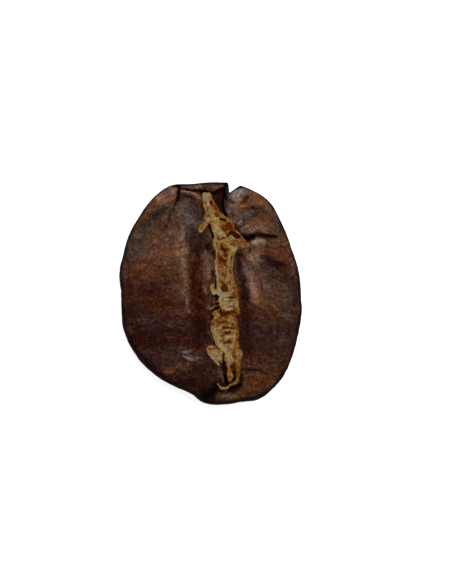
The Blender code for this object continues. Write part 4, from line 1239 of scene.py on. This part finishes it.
def skin_places():
    """The silverskin from above: its edge, its spots, their triangles, and which spots are on the edge."""
    edge = wander(divide(closed(from_photo(SKIN_EDGE_PX)), SKIN_GRAIN_STEP)[:-1], EDGE_WAVES)
    filler = grid(SKIN_GRAIN_STEP, CUT_REACH)
    filler = filler[(filler[:, 0] > edge[:, 0].min()) & (filler[:, 0] < edge[:, 0].max())]
    filler = filler[depth_inside(filler, edge) > EDGE_MARGIN * SKIN_GRAIN_STEP]
    spots = [Vector(spot) for spot in np.vstack([edge, filler])]
    count = len(edge)
    edges = [(number, (number + 1) % count) for number in range(count)]
    places, _, faces, sources, _, _ = delaunay_2d_cdt(spots, edges, [], KEEP_INSIDE, MERGE)
    rim_of = {source[0]: number for number, source in enumerate(sources) if source}
    rim_spots = [rim_of[number] for number in range(count)]
    return edge, np.array([tuple(place) for place in places]), [tuple(face) for face in faces], rim_spots


def skin_top(spots, inward, relief):
    """Height of the silverskin's upper side, which rounds down into the bean's face at its edge."""
    raised = relief - SKIN_SAG * soft_step(depth_inside(spots, CUT_LIP) / SAG_WIDTH)
    full = face_height(spots) + SKIN_CLEARANCE + SKIN_THICKNESS + raised
    foot = face_height(spots) - EDGE_SINK
    share = np.clip(inward / EDGE_ROUNDING, 0, 1)
    return foot + (full - foot) * np.sqrt(1 - (1 - share) ** 2)


def skin_underside(spots, top):
    """Height of its lower side, which lies along the bean's face and fills the centre cut."""
    sink = soft_step((depth_inside(spots, CUT_LIP) - SKIN_WALL) / SKIN_WALL)
    under = face_height(spots) + SKIN_CLEARANCE - sink * (cut_depth(spots) - SKIN_CLEARANCE)
    return np.minimum(under, top - SKIN_THINNEST)


def build_silverskin():
    edge, places, faces, rim_spots = skin_places()
    total = len(places)
    loose = wander(places, SKIN_WAVES)
    raised = np.zeros(total)
    for path, half_width, height in SKIN_RIDGES:
        raised = np.maximum(raised, height * brush_px(loose, path, RIDGE_SPREAD * half_width))
    sunk = np.zeros(total)
    for path, half_width, height in SKIN_HOLLOWS:
        sunk = np.minimum(sunk, height * brush_px(loose, path, HOLLOW_SPREAD * half_width))
    flat = np.column_stack([places, np.zeros(total)])
    cells = cell_edges(flat + CELL_SWIRL * rough(flat, CELL_CLOUDS)[:, None])
    grain = rough(flat, FINE_GRAIN)
    relief = RIDGE_SHARE * raised + HOLLOW_SHARE * sunk + CELL_HEIGHT * cells + GRAIN_HEIGHT * grain
    inward = depth_inside(places, edge)
    top = skin_top(places, inward, relief)
    under = skin_underside(places, top)
    faces += [tuple(total + corner for corner in reversed(face)) for face in faces]
    for here, there in zip(rim_spots, rim_spots[1:] + rim_spots[:1]):
        faces.append((here, there, total + there, total + here))
    points = np.vstack([np.column_stack([places, top]), np.column_stack([places, under])])
    piece = make_mesh("silverskin_sheet", points, faces)

    # tone follows the relief, partly the skin's own colour and partly painted light on folds and shade in
    # hollows
    tone = raised / RIDGE_FULL_TONE + CELL_TONE * cells + GRAIN_TONE * grain + sunk / HOLLOW_FULL_TONE
    cream = np.zeros(total)
    for path, half_width, lighter, creamier in SKIN_PATCHES:
        strength = brush_px(loose, path, PAINT_SPREAD * half_width)
        tone = tone + lighter * strength
        cream = cream + creamier * strength
    # painted shade along the silverskin's edge, where it meets the bean
    tone = tone - EDGE_SHADE * soft_step(1 - inward / EDGE_SHADE_WIDTH)
    ranked = np.argsort(np.argsort(tone, kind="stable"), kind="stable") / (total - 1)
    paint(piece, "tone", np.concatenate([ranked, np.zeros(total)]))
    paint(piece, "cream", np.concatenate([cream, cream]))
    return piece


def new_material(name):
    made = bpy.data.materials.new(name)
    made.use_nodes = True
    return made, made.node_tree, made.node_tree.nodes["Principled BSDF"]


def node(tree, kind, *values, **settings):
    """A new node with its first inputs linked or set, laid out in rows beside the shader."""
    row, column = divmod(len(tree.nodes), NODES_IN_ROW)
    made = tree.nodes.new(kind)
    made.location = NODE_GAP * (column - NODES_IN_ROW), -NODE_GAP * row
    for name, value in settings.items():
        setattr(made, name, value)
    for socket, value in zip(made.inputs, values):
        if isinstance(value, bpy.types.NodeSocket):
            tree.links.new(value, socket)
        else:
            socket.default_value = value
    return made


def painted(tree, name):
    """What paint has kept on a piece under a name."""
    return node(tree, "ShaderNodeAttribute", attribute_name=name).outputs["Fac"]


def ramp_node(tree, source, stops):
    made = node(tree, "ShaderNodeValToRGB", source)
    ramp = made.color_ramp
    while len(ramp.elements) < len(stops):
        ramp.elements.new(0.5)
    for element, (position, colour) in zip(ramp.elements, stops):
        element.position = position
        element.color = (*colour, 1)
    return made.outputs["Color"]


def mapped_range(tree, source, from_range, to_range):
    return node(tree, "ShaderNodeMapRange", source, *from_range, *to_range).outputs["Result"]


def math_node(tree, operation, first, second):
    return node(tree, "ShaderNodeMath", first, second, operation=operation).outputs["Value"]


def vector_node(tree, operation, *values):
    return node(tree, "ShaderNodeVectorMath", *values, operation=operation).outputs["Vector"]


def noise_node(tree, where, per_mm, detail):
    made = node(tree, "ShaderNodeTexNoise", where)
    made.inputs["Scale"].default_value = per_mm / MM
    made.inputs["Detail"].default_value = detail
    return made.outputs


def swing(tree, noise_value, to_range):
    """The usual range of a noise, spread over another range."""
    return mapped_range(tree, noise_value, USUAL_NOISE, to_range)


def mottled(tree, where, colour, mottles):
    """A colour whose red, green and blue each rise and fall in small spots, by half of their spread."""
    for per_mm, spread in mottles:
        spots = noise_node(tree, where, per_mm, MOTTLE_DETAIL)["Color"]
        factor = vector_node(tree, "MULTIPLY_ADD", spots, spread, [1 - 0.5 * share for share in spread])
        kept = vector_node(tree, "MAXIMUM", factor, LEAST_TINT)
        colour = vector_node(tree, "MULTIPLY", colour, kept)
    return colour


def finish_surface(tree, shader, colour, height, depth):
    """A matt surface whose fine relief, depth millimetres deep, only shows in how it takes the light."""
    tree.links.new(colour, shader.inputs["Base Color"])
    shader.inputs["Specular IOR Level"].default_value = 0.02
    shader.inputs["IOR"].default_value = 1.2
    bump = node(tree, "ShaderNodeBump")
    bump.inputs["Strength"].default_value = 0.5
    bump.inputs["Distance"].default_value = depth * MM
    tree.links.new(height, bump.inputs["Height"])
    tree.links.new(bump.outputs["Normal"], shader.inputs["Normal"])


def bean_material():
    """Roasted skin, whose lightness in stops and whose warmth and redness are painted on the piece. The
    painted lightness holds painted highlights and shade as well as the roast's own mottling.
    """
    made, tree, shader = new_material("bean_roasted")
    where = node(tree, "ShaderNodeTexCoord").outputs["Object"]
    # lightness painted on the piece, with painted highlights and shade in it
    light = painted(tree, "light")
    grain = noise_node(tree, where, *GRAIN)["Fac"]
    speck = noise_node(tree, where, *SPECK)["Fac"]
    tint = noise_node(tree, where, *TINT)["Fac"]
    dust = noise_node(tree, where, *DUST)["Fac"]

    fleck = math_node(tree, "ADD", swing(tree, grain, GRAIN_STOPS), swing(tree, speck, SPECK_STOPS))
    fleck = math_node(tree, "MULTIPLY", fleck, mapped_range(tree, light, DARK_TO_LIGHT, FLECK_STRENGTH))
    level = math_node(tree, "ADD", light, fleck)
    level = math_node(tree, "ADD", level, mapped_range(tree, dust, DUST_FROM, DUST_STOPS))
    brightness = math_node(tree, "MULTIPLY", math_node(tree, "POWER", 2.0, level), BEAN_BASE)

    warm = math_node(tree, "ADD", painted(tree, "warm"), swing(tree, tint, TINT_WARMTH))
    warm = math_node(tree, "ADD", warm, math_node(tree, "MULTIPLY", fleck, FLECK_WARMTH))
    hue = ramp_node(tree, mapped_range(tree, warm, WARMTH_RANGE, (0, 1)), BEAN_HUES)
    colour = vector_node(tree, "MULTIPLY", hue, ramp_node(tree, painted(tree, "red"), BEAN_REDS))
    colour = mottled(tree, where, colour, ROAST_MOTTLES)
    scaled = node(tree, "ShaderNodeVectorMath", colour, operation="SCALE")
    tree.links.new(brightness, scaled.inputs["Scale"])
    tree.links.new(swing(tree, grain, ROAST_ROUGHNESS), shader.inputs["Roughness"])
    relief = math_node(tree, "ADD", grain, speck)
    finish_surface(tree, shader, scaled.outputs["Vector"], relief, ROAST_RELIEF)
    return made


def silverskin_material():
    """Dry papery skin, from dark red brown in its hollows to pale straw on its folds: its own colour together
    with painted shade and light.
    """
    made, tree, shader = new_material("silverskin_papery")
    where = node(tree, "ShaderNodeTexCoord").outputs["Object"]
    grain = noise_node(tree, where, *PAPER_GRAIN)["Fac"]
    level = math_node(tree, "ADD", painted(tree, "tone"), swing(tree, grain, PAPER_SWING))
    tone = ramp_node(tree, mapped_range(tree, level, (0, 1), (0, PALEST_TONE)), PAPER_TONES)
    cream = mapped_range(tree, painted(tree, "cream"), (-1, 1), (0, 1))
    colour = vector_node(tree, "MULTIPLY", tone, ramp_node(tree, cream, PAPER_TINTS))
    shader.inputs["Roughness"].default_value = PAPER_ROUGHNESS
    finish_surface(tree, shader, mottled(tree, where, colour, PAPER_MOTTLES), grain, PAPER_RELIEF)
    return made


def pieces():
    bean = build_bean()
    bean.data.materials.append(bean_material())
    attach(bean, "root")
    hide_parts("bean")
    skin = build_silverskin()
    skin.data.materials.append(silverskin_material())
    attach(skin, "root")
    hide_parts("silverskin")


def stage():
    """A white floor that glows a little, so that it looks plain and pale and still takes a soft shadow."""
    bpy.ops.mesh.primitive_plane_add(size=FLOOR_SIZE * MM, location=(0, 0, -FLOOR_GAP * MM))
    floor = bpy.context.object
    floor.name = "floor"
    paper, _, shader = new_material("floor_white")
    shader.inputs["Base Color"].default_value = FLOOR_GREY
    shader.inputs["Emission Color"].default_value = WHITE
    shader.inputs["Emission Strength"].default_value = FLOOR_GLOW
    shader.inputs["Roughness"].default_value = 0.9
    shader.inputs["Specular IOR Level"].default_value = 0.0
    floor.data.materials.append(paper)


def lights():
    """White light from all round, and square lamps that face the bean."""
    world = bpy.data.worlds.new("studio")
    world.use_nodes = True
    sky = world.node_tree.nodes["Background"]
    sky.inputs["Color"].default_value = WHITE
    sky.inputs["Strength"].default_value = SKY_STRENGTH
    bpy.context.scene.world = world
    for name, side, energy, place in LAMPS:
        lamp = bpy.data.lights.new(name, "AREA")
        lamp.shape = "SQUARE"
        lamp.size = side * MM
        lamp.energy = energy
        held = add_object(name, lamp, place)
        held.rotation_euler = (-held.location).to_track_quat("-Z", "Y").to_euler()


def camera():
    """A camera straight above, which sees what the photograph shows at the height of the bean's equator."""
    lens = bpy.data.cameras.new("camera")
    lens.sensor_width = SENSOR_WIDTH
    lens.lens = SENSOR_WIDTH * CAMERA_DISTANCE / (PHOTO_HEIGHT_PX * MM_PER_PX)
    lens.clip_end = CAMERA_SEES_TO * MM
    aim = from_photo([(PHOTO_WIDTH_PX / 2, PHOTO_HEIGHT_PX / 2)])[0]
    bpy.context.scene.camera = add_object("camera", lens, (*aim, EQUATOR_HEIGHT + CAMERA_DISTANCE))


pieces()
stage()
lights()
camera()
bpy.context.scene.view_settings.view_transform = "Standard"
